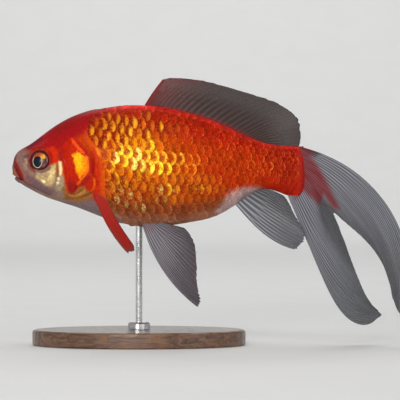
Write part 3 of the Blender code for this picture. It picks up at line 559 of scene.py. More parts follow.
# Where the scales carry a painted highlight spot instead, where a painted silvery glint, and where ochre
# between painted shadow gaps.
HIGHLIGHT_SPOTS = ((-12.0, 98.0, 9.0, 5.5, 1.0), (-2.0, 98.5, 10.0, 5.0, 0.8), (12.0, 97.0, 8.0, 4.0, 0.45),
         (-19.0, 90.0, 4.0, 5.0, 0.8))
SILVER_GLINTS = ((-9.0, 66.5, 6.5, 4.0, 1.1), (3.0, 63.5, 7.0, 3.0, 0.6), (8.5, 67.0, 2.5, 3.5, 0.9))
OCHRE = ((-9.0, 71.0, 8.0, 6.0, 1.0), (4.0, 70.0, 9.0, 6.0, 0.9),
         (17.0, 70.5, 9.0, 5.0, 0.7), (28.0, 70.0, 8.0, 5.0, 0.6))


def bells(x, z, table):
    """How strong an effect is at a place in the side view: a sum of bells."""
    return sum(strength * np.exp(-((x - at_x) / along) ** 2 - ((z - at_z) / up) ** 2)
               for at_x, at_z, along, up, strength in table)


def arc_table():
    """Turn of the body at regular distances round it from the lateral line, for many places along it, and how
    far from that line the back and the belly are there."""
    places = np.linspace(SNOUT + 20, BODY_END - 0.3, ARC_PLACES)
    turn = np.linspace(-0.8, math.pi + 0.8, ARC_TURNS)
    ring = body_point(places[:, None], turn[None, :])
    step = np.linalg.norm(np.diff(ring[..., 1:], axis=1), axis=-1)
    arc = np.concatenate([np.zeros((len(places), 1)), np.cumsum(step, axis=1)], axis=1)
    line = np.array(LATERAL_LINE)
    height = smooth_curve(line[:, 0], line[:, 1:], places)[:, 0]
    back, middle, belly, _ = girth(places)
    start = np.arccos((height - middle) / ((back - belly) / 2))
    distance = np.linspace(-ARC_REACH, ARC_REACH, ARC_STEPS)
    from_line = [row - np.interp(at, turn, row) for row, at in zip(arc, start)]
    table = np.array([np.interp(distance, row, turn) for row in from_line])
    to_back, to_belly = (np.array([np.interp(end, turn, row) for row in from_line]) for end in (0, math.pi))
    return places, distance, table, to_back, to_belly


def read_table(places, distance, table, x, d):
    """Bilinear reading of the table at places along the body and distances round it."""
    i = np.clip((x - places[0]) / (places[1] - places[0]), 0, len(places) - 1.001)
    j = np.clip((d - distance[0]) / (distance[1] - distance[0]), 0, len(distance) - 1.001)
    row, column = i.astype(int), j.astype(int)
    i, j = i - row, j - column
    return ((1 - i) * ((1 - j) * table[row, column] + j * table[row, column + 1])
            + i * ((1 - j) * table[row + 1, column] + j * table[row + 1, column + 1]))


def scale_places(places, to_back, to_belly):
    """Place along the body and row number of every scale on one side: columns set a pitch apart, every second
    row half a pitch further back, as far as the back, the belly and the tail."""
    fine = np.linspace(*SCALE_PLACES, 5000)
    count = np.concatenate([[0], np.cumsum(np.diff(fine) / np.interp(fine[:-1], *COLUMN_PITCH))])
    column, row = np.meshgrid(np.arange(int(count[-1]) + 1), np.arange(*SCALE_ROWS), indexing="ij")
    x = np.interp((column + 0.5 * (row % 2)).ravel(), count, fine)
    row = row.ravel()
    distance = row * np.interp(x, *ROW_PITCH)
    kept = (distance > np.interp(x, places, to_back) + FROM_BACK) & (x < SCALES_END)
    kept &= distance < np.interp(x, places, to_belly) - FROM_BELLY
    return x[kept], row[kept]


def make_scales(material):
    """Overlapping scales on both sides.  One scale is a disc of rings: its height over the skin rises evenly
    from its buried front to its rear edge, with a raised rim, and its edge turns down to the skin."""
    rng = np.random.default_rng(SCALE_SEED)
    places, distance, table, to_back, to_belly = arc_table()
    x, row = scale_places(places, to_back, to_belly)
    x, row = np.tile(x, 2), np.tile(row, 2)
    side = np.repeat((LEFT, RIGHT), len(x) // 2)
    root_turn = read_table(places, distance, table, x, row * np.interp(x, *ROW_PITCH))
    centre = body_point(x, root_turn)
    coat, _ = beside(centre[:, 0], centre[:, 2], COAT_EDGE, COAT_PIECES)
    kept = coat > COAT_START
    x, row, side, centre, root_turn = x[kept], row[kept], side[kept], centre[kept], root_turn[kept]
    count = len(x)

    angle = np.arange(SCALE_SIDES) * 2 * math.pi / SCALE_SIDES
    share = np.concatenate([[0.0], np.repeat(SCALE_RINGS + (SKIRT_REACH,), SCALE_SIDES)])
    way = np.concatenate([[0], np.tile(angle, len(SCALE_RINGS) + 1)])
    along, across = share * np.cos(way), share * np.sin(way)
    reach = np.where(along > 0, SCALE_REAR, SCALE_FRONT)
    skirt = np.arange(len(share)) >= len(share) - SCALE_SIDES

    column_pitch = np.interp(x, *COLUMN_PITCH)[:, None]
    size = 1 + rng.uniform(-SIZE_CHANCE, SIZE_CHANCE, (count, 1))
    twist = np.radians(rng.uniform(-TWIST_CHANCE, TWIST_CHANCE, (count, 1)))
    ahead = along * reach * column_pitch * size
    aside = across * SCALE_HALF * np.interp(x, *ROW_PITCH)[:, None] * size
    ahead, aside = (ahead * np.cos(twist) - aside * np.sin(twist),
                    ahead * np.sin(twist) + aside * np.cos(twist))
    at = np.clip(x[:, None] + ahead, SNOUT + 21, BODY_END - 0.4)
    d = row[:, None] * np.interp(at, *ROW_PITCH) + aside
    turn = read_table(places, distance, table, at, d)

    way_back = (ahead / column_pitch + SCALE_FRONT) / (SCALE_FRONT + SCALE_REAR)
    from_line = row * np.interp(x, *ROW_PITCH)
    flat = ease(from_line - np.interp(x, places, to_back), *CREST_BAND)
    flat *= ease(np.interp(x, places, to_belly) - from_line, *BELLY_BAND)
    gleam, spot, ochre, silver = (bells(centre[:, 0], centre[:, 2], of)
                                  for of in (GLEAMS, HIGHLIGHT_SPOTS, OCHRE, SILVER_GLINTS))
    full = (0.35 + 0.65 * flat) * np.interp(x, *RELIEF_LEFT) * (1 + 0.25 * np.clip(gleam, 0, 1))
    full = full[:, None]
    lean = rng.normal(0, LEAN_CHANCE, (2, count, 1))
    height = SCALE_RISE * (way_back - 0.22) + 0.07 * ease(share, 0.55, 0.95) * ease(along, -0.2, 0.6)
    height += lean[0] * ahead + lean[1] * aside - 0.08 * across**2
    height = full * height - np.where(skirt, SCALE_EDGE, 0) - COAT_DEPTH
    normal = body_normal(at, turn)
    points = body_point(at, turn) + normal * height[..., None]
    points[..., 1] *= side[:, None]

    per_scale = len(share)
    quads, _ = grid_quads(len(SCALE_RINGS) + 1, SCALE_SIDES, start=1, closed=True)
    middle = end_fan(0, 1, SCALE_SIDES)
    under = per_scale - 1 - np.arange(SCALE_SIDES)
    faces, uv, bake = [], [], []
    bake_at = np.stack([(x - SNOUT) / (BODY_END - SNOUT), side * root_turn / (2 * math.pi) % 1], axis=1)
    bake_at = BAKE_PATCH + (1 - 2 * BAKE_PATCH) * bake_at       # whole patches stay on the map
    disc = np.stack([along, across], axis=1)
    left = side == LEFT
    for shape in (middle, quads, under[None]):
        whole = shape[None] + (np.arange(count) * per_scale)[:, None, None]
        whole[left] = whole[left, :, ::-1]
        local = np.broadcast_to(disc[shape], (count,) + shape.shape + (2,)).copy()
        local[left] = local[left, :, ::-1]
        faces += whole.reshape(-1, shape.shape[1]).tolist()
        uv.append((0.5 + 0.5 * local).reshape(-1, 2))
        bake.append((bake_at[:, None, None] + local * BAKE_PATCH).reshape(-1, 2))
    values = zone_values(points[..., 0].ravel(), points[..., 2].ravel())
    tone = rng.random(count)
    spark = np.where(rng.random(count) > 1 - SPARK_CHANCE, SPARK * flat, 0)
    gleam = gleam * rng.uniform(0.35, 1.25, count) + 0.5 * np.clip(gleam - 0.6, 0, 1) + spark
    spot = np.clip(spot * rng.uniform(0.3, 1.3, count), 0, 1)
    silver = np.clip(silver * rng.uniform(0.4, 1.3, count), 0, 1)
    ochre = np.clip(ochre * rng.uniform(0.5, 1.2, count), 0, 1)
    for word, of_scale in (("Tone", tone), ("Clear", flat), ("Gleam", np.clip(gleam, 0, 1.6)), ("Spot", spot),
                           ("Silver", silver), ("Ochre", ochre), ("Lateral", (row == 0).astype(float))):
        values[word] = np.repeat(of_scale, per_scale)
    make_piece("scales", points, faces, material,
               maps={"OFBake": np.concatenate(bake), "Scale": np.concatenate(uv)}, values=values)


# ---- Eyes ----------------------------------------------------------------------------------------

EYE_RADIUS, EYE_HALF_DEPTH, EYE_SUNK = 4.5, 3.0, 1.5
EYE_RINGS, EYE_SIDES = 46, 72
IRIS_RADIUS, IRIS_HEIGHT, WHITE_HEIGHT = 3.75, 1.75, 1.62
LENS_RISE = 0.35
PUPIL = (-0.9, -0.1)                    # its middle, towards the tail and up from the middle of the iris
PUPIL_REACH = (2.0, 2.05, 2.8)           # half width, reach upwards and reach downwards


def eye_front(p, q):
    """Height of the eye's front over its middle plane, p towards the tail and q up: a flattened ball, with
    the iris a shallow cone inside it, the lens a dome in the pupil, and a groove round the iris."""
    radius = np.hypot(p, q)
    ball = EYE_HALF_DEPTH * np.sqrt(np.clip(1 - (radius / EYE_RADIUS) ** 2, 0, 1))
    iris = IRIS_HEIGHT - 0.10 * (radius / IRIS_RADIUS) ** 2 - 0.22 * bump(radius - IRIS_RADIUS, 0.2)
    height = np.minimum(ball, np.where(radius < IRIS_RADIUS + 0.25, iris, WHITE_HEIGHT))
    down = np.where(q > PUPIL[1], PUPIL_REACH[1], PUPIL_REACH[2])
    pupil = np.hypot((p - PUPIL[0]) / PUPIL_REACH[0], (q - PUPIL[1]) / down)
    return height + LENS_RISE * np.sqrt(np.clip(1 - pupil**2, 0, 1)) + 0.09 * bump(pupil - 1.15, 0.1)


def make_eye(word, side, material):
    """Closed ball whose front is eye_front and whose back is a plain flattened ball, square to the head."""
    x, z = (np.array([value]) for value in EYE)
    back, middle, belly, _ = girth(x)
    turn = np.arccos((z - middle) / ((back - belly) / 2))
    outward = unit(body_normal(x, turn)[0] * (1.0, 1.0, 0.6))      # faces up less than the head does there
    tailward = unit(np.array((1.0, 0, 0)) - outward[0] * outward)
    upward = np.cross(outward, tailward)
    upward *= np.sign(upward[2])
    polar = np.linspace(0, 1, EYE_RINGS + 1)[1:-1]
    radius = EYE_RADIUS * np.sin(polar * math.pi) ** 0.8
    angle = np.arange(EYE_SIDES) * 2 * math.pi / EYE_SIDES
    p, q = radius[:, None] * np.cos(angle), radius[:, None] * np.sin(angle)
    front = (polar < 0.5)[:, None]
    ball = EYE_HALF_DEPTH * np.sqrt(np.clip(1 - (radius[:, None] / EYE_RADIUS) ** 2, 0, 1))
    depth = np.where(front, eye_front(p, q), -ball)
    centre = body_point(x, turn)[0] - outward * EYE_SUNK
    front_middle = (0, 0, eye_front(np.zeros(1), np.zeros(1))[0])
    local = np.concatenate([[front_middle], np.stack([p, q, depth], -1).reshape(-1, 3),
                            [(0, 0, -EYE_HALF_DEPTH)]])
    points = centre + local[:, :1] * tailward + local[:, 1:2] * upward + local[:, 2:] * outward
    points[:, 1] *= side
    rows = len(polar)
    quads, _ = grid_quads(rows, EYE_SIDES, start=1, closed=True)
    last = 1 + (rows - 1) * EYE_SIDES
    caps = np.concatenate([end_fan(0, 1, EYE_SIDES),
                           end_fan(last + EYE_SIDES, last, EYE_SIDES, outward=True)])
    hand = np.dot(np.cross(tailward, upward), outward) * side
    if hand < 0:
        quads, caps = quads[:, ::-1], caps[:, ::-1]
    corners = np.concatenate([quads.ravel(), caps.ravel()])
    flat = np.stack([local[:, 0], local[:, 1]], axis=1) / EYE_RADIUS * 0.25
    flat = flat + np.where(local[:, 2:] > 0, (0.25, 0.5), (0.75, 0.5))
    make_piece("eyeball_" + word, points, quads.tolist() + caps.tolist(), material, ("eye_" + word,),
               {"OFBake": flat[corners]}, {"Iris P": local[:, 0], "Iris Q": local[:, 1]})


# ---- Fins ----------------------------------------------------------------------------------------

Ray = namedtuple("Ray", "x z length start end bend out")
FIN_ROOT_DEPTH = 1.6                 # how far the rays start inside the body
WEB_HALF, RAY_HALF = 0.16, 0.06      # half the thickness of the web, and what a ray adds to it
ROOT_HALF, BORDER_HALF = 0.45, 0.35  # what the root adds to it, and the first ray


def fan(rays, across, along):
    """Grid of points over a fin: rays blended smoothly from first to last, each followed from root to tip."""
    table = np.array(rays, float)
    blend = np.linspace(0, len(rays) - 1, across)
    x, z, length, start, end, bend, out = smooth_curve(np.arange(len(rays)), table, blend).T[:, :, None]
    middle_of_step = (np.arange(along - 1) + 0.5) / (along - 1)
    angle = np.radians(start + (end - start) * middle_of_step ** bend)
    step = length / (along - 1)
    run = np.cumsum(np.cos(angle) * step, axis=1)
    climb = np.cumsum(np.sin(angle) * step, axis=1)
    root = np.zeros((across, 1))
    reach = out * np.linspace(0, 1, along)
    return np.stack([x + np.hstack([root, run]), reach, z + np.hstack([root, climb])], axis=-1)


def back_ray(x, length, start, end):
    """Ray of the dorsal fin, rooted on the back."""
    return Ray(x, float(girth(x)[0]) - FIN_ROOT_DEPTH, length + FIN_ROOT_DEPTH, start, end, 1.0, 0.0)


def belly_ray(x, length, start, end, bend=1.0, out=0.0, above_belly=0.0):
    """Ray of the anal fin or a pelvic fin, rooted on the belly."""
    root = float(girth(x)[2]) + above_belly + FIN_ROOT_DEPTH
    return Ray(x, root, length + FIN_ROOT_DEPTH, start, end, bend, out)


DORSAL_RAYS = (
    back_ray(1.8, 14.2, 61, 50),
    back_ray(5.9, 19.6, 60, 22),
    back_ray(14.0, 22.2, 57, 10),
    back_ray(25.2, 23.2, 50, 8),
    back_ray(36.5, 24.6, 42, 12),
    back_ray(45.5, 24.6, 33, 14),
    back_ray(50.4, 21.4, 22, 8),
    back_ray(53.6, 16.4, -14, -4),
)
ANAL_SWAY = -3.0
ANAL_RAYS = (
    belly_ray(42.8, 33.6, -50, -12, 2.0, ANAL_SWAY),
    belly_ray(45.0, 33.2, -43, -24, 1.3, ANAL_SWAY),
    belly_ray(47.7, 29.8, -36, -29, 1.0, ANAL_SWAY),
    belly_ray(50.4, 22.4, -28, -34, 1.0, 0.8 * ANAL_SWAY),
    belly_ray(52.4, 16.0, -19, -34, 1.0, 0.6 * ANAL_SWAY),
    belly_ray(54.2, 10.0, -10, -30, 1.0, 0.4 * ANAL_SWAY),
)
PELVIC_FROM_MIDDLE = 4.4
PELVIC_RAYS = (
    belly_ray(1.2, 44.6, -75, -36, 1.1, 12.0, 1.2),
    belly_ray(2.2, 43.6, -69, -40, 1.1, 12.0, 1.2),
    belly_ray(3.2, 38.8, -62, -46, 1.0, 10.5, 1.2),
    belly_ray(4.2, 32.2, -52, -48, 1.0, 8.0, 1.2),
    belly_ray(5.2, 25.2, -38, -40, 1.0, 6.0, 1.2),
    belly_ray(6.2, 18.4, -22, -28, 1.0, 4.0, 1.2),
    belly_ray(7.2, 11.8, -10, -16, 1.0, 3.0, 1.2),
)
PECTORAL_LEFT_RAYS = (
    Ray(-21.0, 70.6, 33.6, -70, -45, 1.4, 15.0),
    Ray(-19.6, 70.9, 33.4, -68, -46, 1.3, 11.0),
    Ray(-18.2, 70.7, 32.0, -66, -49, 1.2, 6.5),
    Ray(-16.9, 69.8, 28.6, -65, -53, 1.0, 3.0),
)
PECTORAL_RIGHT_RAYS = (
    Ray(-21.0, 72.6, 34.0, -14, -24, 1.0, 9.5),
    Ray(-20.3, 71.4, 32.0, -24, -30, 1.0, 9.0),
    Ray(-19.4, 70.2, 27.0, -35, -38, 1.0, 8.0),
    Ray(-18.4, 69.2, 21.0, -48, -50, 1.0, 6.5),
)
TAIL_SWAY = 5.0
UPPER_TAIL_RAYS = (
    Ray(72.0, 89.4, 101.6, -14, -110, 1.12, -TAIL_SWAY),
    Ray(72.0, 86.9, 92.0, -19, -99, 1.0, -TAIL_SWAY),
    Ray(72.0, 84.2, 76.3, -26, -85, 1.0, -0.7 * TAIL_SWAY),
    Ray(72.0, 81.4, 50.5, -36, -62, 1.0, -0.3 * TAIL_SWAY),
    Ray(72.0, 79.2, 25.2, -48, -54, 1.0, 0.0),
)
LOWER_TAIL_RAYS = (
    Ray(72.0, 78.5, 25.2, -49, -54, 1.0, 0.0),
    Ray(71.6, 76.0, 42.0, -58, -55, 1.0, 0.3 * TAIL_SWAY),
    Ray(70.2, 73.2, 59.9, -62, -51, 1.5, 0.7 * TAIL_SWAY),
    Ray(68.2, 70.2, 71.2, -66, -24, 2.4, TAIL_SWAY),
    Ray(66.4, 68.4, 77.2, -67, 52, 7.5, TAIL_SWAY),
)


def ray_ridges(u, v, count, forks):
    """Height of the rays, 0 on the web and 1 on a crest: one bell to a ray near the root, more where it has
    forked, and fading to about half that height near the tip, where they are too fine to tell apart."""
    once, twice = (bump((u * count * parts) % 1 - 0.5, 0.2) for parts in (1, forks))
    forked, frayed = ease(v, 0.22, 0.42), ease(v, 0.5, 0.85)
    return (once * (1 - forked) + twice * forked) * (1 - 0.6 * frayed) + 0.25 * frayed


def make_fin(name, nodes, middle, pattern, material, waves, tints, side=0, from_middle=0.0):
    """Thin closed sheet round the middle surface: a web with raised rays, thick at the root, waving more
    towards the tip, with a small notch in the edge between rays.  The pattern is the number of rays, how many
    parts each forks into, and how boldly they stand out; the waves are their size, how many there are across
    the fin, and how far they lean along it; the tints give how red each place is, and how much painted shade,
    and on the tail its smoky patch, darken it."""
    rows, columns = middle.shape[:2]
    count, forks, bold = pattern
    u, v = np.meshgrid(np.linspace(0, 1, rows), np.linspace(0, 1, columns), indexing="ij")
    ridges = ray_ridges(u, v, count, forks)
    notch = (1 - ridges) * 0.012 + 0.010 * np.sin(u * 57 + 3 * np.sin(u * 23))
    short = v * (1 - notch * v**4) * (columns - 1)
    step = np.clip(short.astype(int), 0, columns - 2)
    part = (short - step)[..., None]
    row = np.arange(rows)[:, None]
    middle = middle[row, step] * (1 - part) + middle[row, step + 1] * part
    size, turns, lean = waves
    middle[..., 1] += size * v**1.3 * np.sin(2 * math.pi * (turns * u + lean * v))
    if side:
        middle[..., 1] = side * (middle[..., 1] + from_middle)
    normal = unit(np.cross(np.gradient(middle, axis=0), np.gradient(middle, axis=1)))
    half = WEB_HALF + RAY_HALF * bold * ridges * (1 - 0.5 * v) + ROOT_HALF * (1 - v) ** 6
    half += BORDER_HALF * bump(u, 0.6 / count) * (1 - 0.6 * v)
    half *= 0.35 + 0.65 * ease(np.minimum(1 - v, np.minimum(u, 1 - u) * 3), 0, 0.02)
    offset = normal * half[..., None]
    points = np.concatenate([(middle + offset).reshape(-1, 3), (middle - offset).reshape(-1, 3)])
    number = np.arange(rows * columns).reshape(rows, columns)
    border = np.concatenate([number[0, :-1], number[:-1, -1], number[-1, :0:-1], number[:0:-1, 0]])
    after, back = np.roll(border, -1), rows * columns
    rim = np.stack([border, after, after + back, border + back], axis=-1)
    near, _ = grid_quads(rows, columns)
    far, _ = grid_quads(rows, columns, start=back, flip=True)
    faces = np.concatenate([near, far, rim])
    at = np.stack([v.ravel(), u.ravel() * 0.48 + 0.01], axis=1)
    at = np.concatenate([at, at + (0, 0.5)])
    corners = at[faces.ravel()]
    across, reach = np.tile(u.ravel(), 2), np.tile(v.ravel(), 2)
    blush, shade_and_smoke = tints(points[:, 0], points[:, 2], across, reach)
    values = {"Ray": bold * np.tile(ridges.ravel(), 2), "Reach": reach, "Across": across, "Blush": blush,
              "Shade and smoke": shade_and_smoke}
    make_piece(name, points, faces.tolist(), material, nodes, {"OFBake": corners}, values)


TAIL_RED = ((73.0, 88.5), (76.0, 86.0), (80.0, 81.0), (84.6, 73.0), (90.0, 61.5), (87.6, 61.8), (83.2, 68.0),
            (81.0, 63.4), (77.6, 66.6), (73.8, 70.0), (70.0, 66.0))
TAIL_SMOKE = ((73.0, 92.5), (77.5, 91.0), (83.6, 87.4), (79.0, 84.6), (76.0, 86.0), (73.0, 88.5))


def tail_tints(x, z, u, v):
    """Red at the root of the tail fin, reaching back in two points; darker above it, where the fin is smoky,
    and painted shade on the rear half of the lower lobe and towards the tips."""
    smoke = ease(inside(x, z, TAIL_SMOKE), -1.4, 1.2)
    rear_half = ease(u, 0.499, 0.501) * ease(-u, -0.82, -0.64) * ease(v, 0.30, 0.50)
    shade_and_smoke = np.maximum(np.maximum(0.85 * smoke, 0.75 * rear_half), 0.45 * ease(v, 0.45, 1.0))
    root = 0.9 * ease(-v, -0.085, -0.045) * ease(z, 70.0, 75.0)
    red = np.maximum(ease(inside(x, z, TAIL_RED), -1.8, 1.2), root)
    return np.maximum(red, 0.25 * smoke), shade_and_smoke


def dorsal_tints(x, z, u, v):
    """Red along the leading edge, most at its root, and a faint flush over the front third and the base."""
    lead = ease(-u, -0.16 * (1.3 - v), 0.0)
    front = 0.45 * ease(-u, -0.42, -0.05)
    base = 0.6 * ease(-v, -0.14, -0.07)
    return np.clip(np.maximum(np.maximum(lead, front), base), 0, 1), 0 * v


def anal_tints(x, z, u, v):
    """No red; painted shade towards the rear and the tip."""
    return 0 * v, np.maximum(0.7 * ease(u, 0.12, 0.75), 0.35 * ease(v, 0.4, 1.0))


def pelvic_tints(x, z, u, v):
    """A faint flush, stronger at the root; painted shade towards the rear and the tip."""
    blush = np.maximum(0.4 * ease(-v, -0.22, -0.03), 0.12)
    return blush, np.maximum(0.55 * ease(v, 0.25, 1.0), 0.5 * ease(u, 0.35, 0.95))


def pectoral_tints(x, z, u, v):
    """Red, with a narrow pale edge round the tip."""
    edge = np.maximum(ease(v, 0.92, 0.99), ease(np.abs(u - 0.5), 0.38, 0.48) * ease(v, 0.45, 0.80))
    return 1 - 0.8 * edge, 0 * v


def make_fins(pale, smoky, red):
    """All the fins.  The two tail lobes are one sheet, joined where the last ray of the upper one meets the
    lower one."""
    make_fin("dorsal_fin_rays", ("dorsal_fin",), fan(DORSAL_RAYS, 330, 64), (32, 1, 0.8), smoky,
             (0.6, 1.6, 0.4), dorsal_tints)
    make_fin("anal_fin_rays", ("anal_fin",), fan(ANAL_RAYS, 150, 80), (9, 2, 1.0), pale,
             (0.7, 1.4, 0.3), anal_tints)
    upper, lower = (fan(rays, 200, 112) for rays in (UPPER_TAIL_RAYS, LOWER_TAIL_RAYS))
    make_fin("tail_fin_rays", ("tail_fin_upper", "tail_fin_lower"), np.concatenate([upper[:-1], lower]),
             (30, 2, 0.8), pale, (1.6, 3.0, 0.5), tail_tints)
    for side, word, rays in ((LEFT, "left", PECTORAL_LEFT_RAYS), (RIGHT, "right", PECTORAL_RIGHT_RAYS)):
        make_fin("pelvic_fin_rays_" + word, ("pelvic_fin_" + word,), fan(PELVIC_RAYS, 170, 90), (11, 2, 0.9),
                 pale, (0.8, 1.6, 0.3), pelvic_tints, side, PELVIC_FROM_MIDDLE)
        from_middle = float(flank(rays[0].x, rays[0].z)) - FIN_ROOT_DEPTH
        make_fin("pectoral_fin_rays_" + word, ("pectoral_fin_" + word,), fan(rays, 100, 80), (13, 1, 1.0),
                 red, (0.35, 1.5, 0.2), pectoral_tints, side, from_middle)


# ---- Materials -----------------------------------------------------------------------------------

def give(tree, made, inputs):
    """Sets a node's inputs, each from a value or from another node's output."""
    for name, value in inputs.items():
        if isinstance(value, bpy.types.NodeSocket):
            tree.links.new(value, made.inputs[name])
        else:
            made.inputs[name].default_value = value


def add_node(tree, kind, inputs, output=0, **settings):
    """Adds a node with these inputs and settings, and returns one of its outputs."""
    made = tree.nodes.new(kind)
    for name, value in settings.items():
        setattr(made, name, value)
    give(tree, made, inputs)
    return made.outputs[output]


def calc(tree, operation, *values):
    """Arithmetic on single values."""
    return add_node(tree, "ShaderNodeMath", dict(enumerate(values)), operation=operation)


def times(tree, first, *others):
    """Product of two or more values."""
    for other in others:
        first = calc(tree, "MULTIPLY", first, other)
    return first


def vector(tree, operation, *values, output="Vector"):
    """Arithmetic on vectors."""
    return add_node(tree, "ShaderNodeVectorMath", dict(enumerate(values)), output, operation=operation)


def scaled(tree, colour, share):
    """A colour, darker or lighter by this share."""
    return add_node(tree, "ShaderNodeVectorMath", {0: colour, "Scale": share}, operation="SCALE")


def joined(tree, x, y):
    """Vector of two values."""
    return add_node(tree, "ShaderNodeCombineXYZ", {0: x, 1: y})


def eased(tree, value, low, high, to_low=0.0, to_high=1.0):
    """Smooth step of a value between low and high."""
    return add_node(tree, "ShaderNodeMapRange", {"Value": value, "From Min": low, "From Max": high,
                                                 "To Min": to_low, "To Max": to_high},
                    interpolation_type="SMOOTHSTEP")


def mixed(tree, share, first, second, how="MIX"):
    """Blend of two colours, each a node's output or (red, green, blue)."""
    first, second = (colour if isinstance(colour, bpy.types.NodeSocket) else (*colour, 1)
                     for colour in (first, second))
    return add_node(tree, "ShaderNodeMix", {0: share, 6: first, 7: second}, output=2, data_type="RGBA",
                    blend_type=how)


def value_of(tree, name):
    """A number kept on the mesh."""
    return add_node(tree, "ShaderNodeAttribute", {}, output="Fac", attribute_name=name)


def millimetres(tree, stretch=(1, 1, 1)):
    """Object coordinates in millimetres."""
    place = add_node(tree, "ShaderNodeTexCoord", {}, output="Object")
    return vector(tree, "MULTIPLY", place, tuple(1000 * s for s in stretch))


def noise(tree, place, scale, detail=3.0, roughness=0.5):
    """Smooth random value in space, with this many features to a unit of the place."""
    return add_node(tree, "ShaderNodeTexNoise", {"Vector": place, "Scale": scale, "Detail": detail,
                                                 "Roughness": roughness}, output="Fac")


def make_markings():
    """The fish's colours: each zone in turn laid over the orange of the flanks, with a ragged soft edge.  The
    group also gives where the skin is golden."""
    tree = bpy.data.node_groups.new("fish markings", "ShaderNodeTree")
    for socket, form in (("Colour", "Color"), ("Gold", "Float")):
        tree.interface.new_socket(socket, in_out="OUTPUT", socket_type="NodeSocket" + form)
    place = millimetres(tree)
    coarse, fine = noise(tree, place, 0.35), noise(tree, place, 1.1)
    wobble = calc(tree, "SUBTRACT", calc(tree, "ADD", coarse, fine), 1.0)
    colour = FLANK_ORANGE
    shares = {}
    for zone in ZONES:
        edge = calc(tree, "MULTIPLY_ADD", wobble, zone.ragged * 2, value_of(tree, zone.name))
        shares[zone.name] = eased(tree, edge, -zone.soft, zone.soft, 0.0, zone.strength)
        colour = mixed(tree, shares[zone.name], colour, zone.colour)
    mottle = eased(tree, noise(tree, place, 0.9, 5.0, 0.7), 0.3, 0.7, 0.78, 1.18)
    gold = calc(tree, "MAXIMUM", shares["gold flank"], shares["cover yellow"])
    give(tree, tree.nodes.new("NodeGroupOutput"), {"Colour": scaled(tree, colour, mottle), "Gold": gold})
    return tree


def use_markings(tree, markings):
    """Places the group of markings and returns its outputs."""
    made = tree.nodes.new("ShaderNodeGroup")
    made.node_tree = markings
    return made.outputs


def new_material(name, **plain):
    """Material with its Principled shader, whose uniform values are given by socket name with _ for spaces;
    gives the material, its tree and the shader."""
    material = bpy.data.materials.new(name)
    material.use_nodes = True
    shader = material.node_tree.nodes["Principled BSDF"]
    give(material.node_tree, shader, {socket.replace("_", " "): value for socket, value in plain.items()})
    return material, material.node_tree, shader


def bumped(tree, height, strength, distance=0.0003):
    """Normal tilted as if the surface rose by the height times the distance, in metres."""
    return add_node(tree, "ShaderNodeBump", {"Height": height, "Strength": strength, "Distance": distance},
                    "Normal")


def skin_material(markings):
    """The markings, with painted shade in the folds, creases and eye socket, and orange specks on the gold.
    """
    material, tree, shader = new_material("wet skin", Coat_Weight=0.06, Coat_Roughness=0.08,
                                          Specular_Tint=(1.0, 0.40, 0.25, 1.0), Specular_IOR_Level=0.10)
    marked = use_markings(tree, markings)
    # Painted shade: the markings darkened where the relief has folds, creases and the eye socket.
    shade = calc(tree, "MULTIPLY_ADD", value_of(tree, "Fold shade"), -0.72, 1.0)
    place = millimetres(tree)
    speck = times(tree, eased(tree, noise(tree, place, 1.3, 3.0, 0.7), 0.50, 0.64), marked["Gold"], 0.7)
    grain = noise(tree, place, 2.2, 4.0, 0.6)
    give(tree, shader, {
        "Base Color": mixed(tree, speck, scaled(tree, marked["Colour"], shade), (0.80, 0.20, 0.004)),
        "Roughness": eased(tree, grain, 0.3, 0.7, 0.50, 0.62),
        "Metallic": times(tree, marked["Gold"], 0.35),
        "Normal": bumped(tree, grain, 0.35)})
    return material


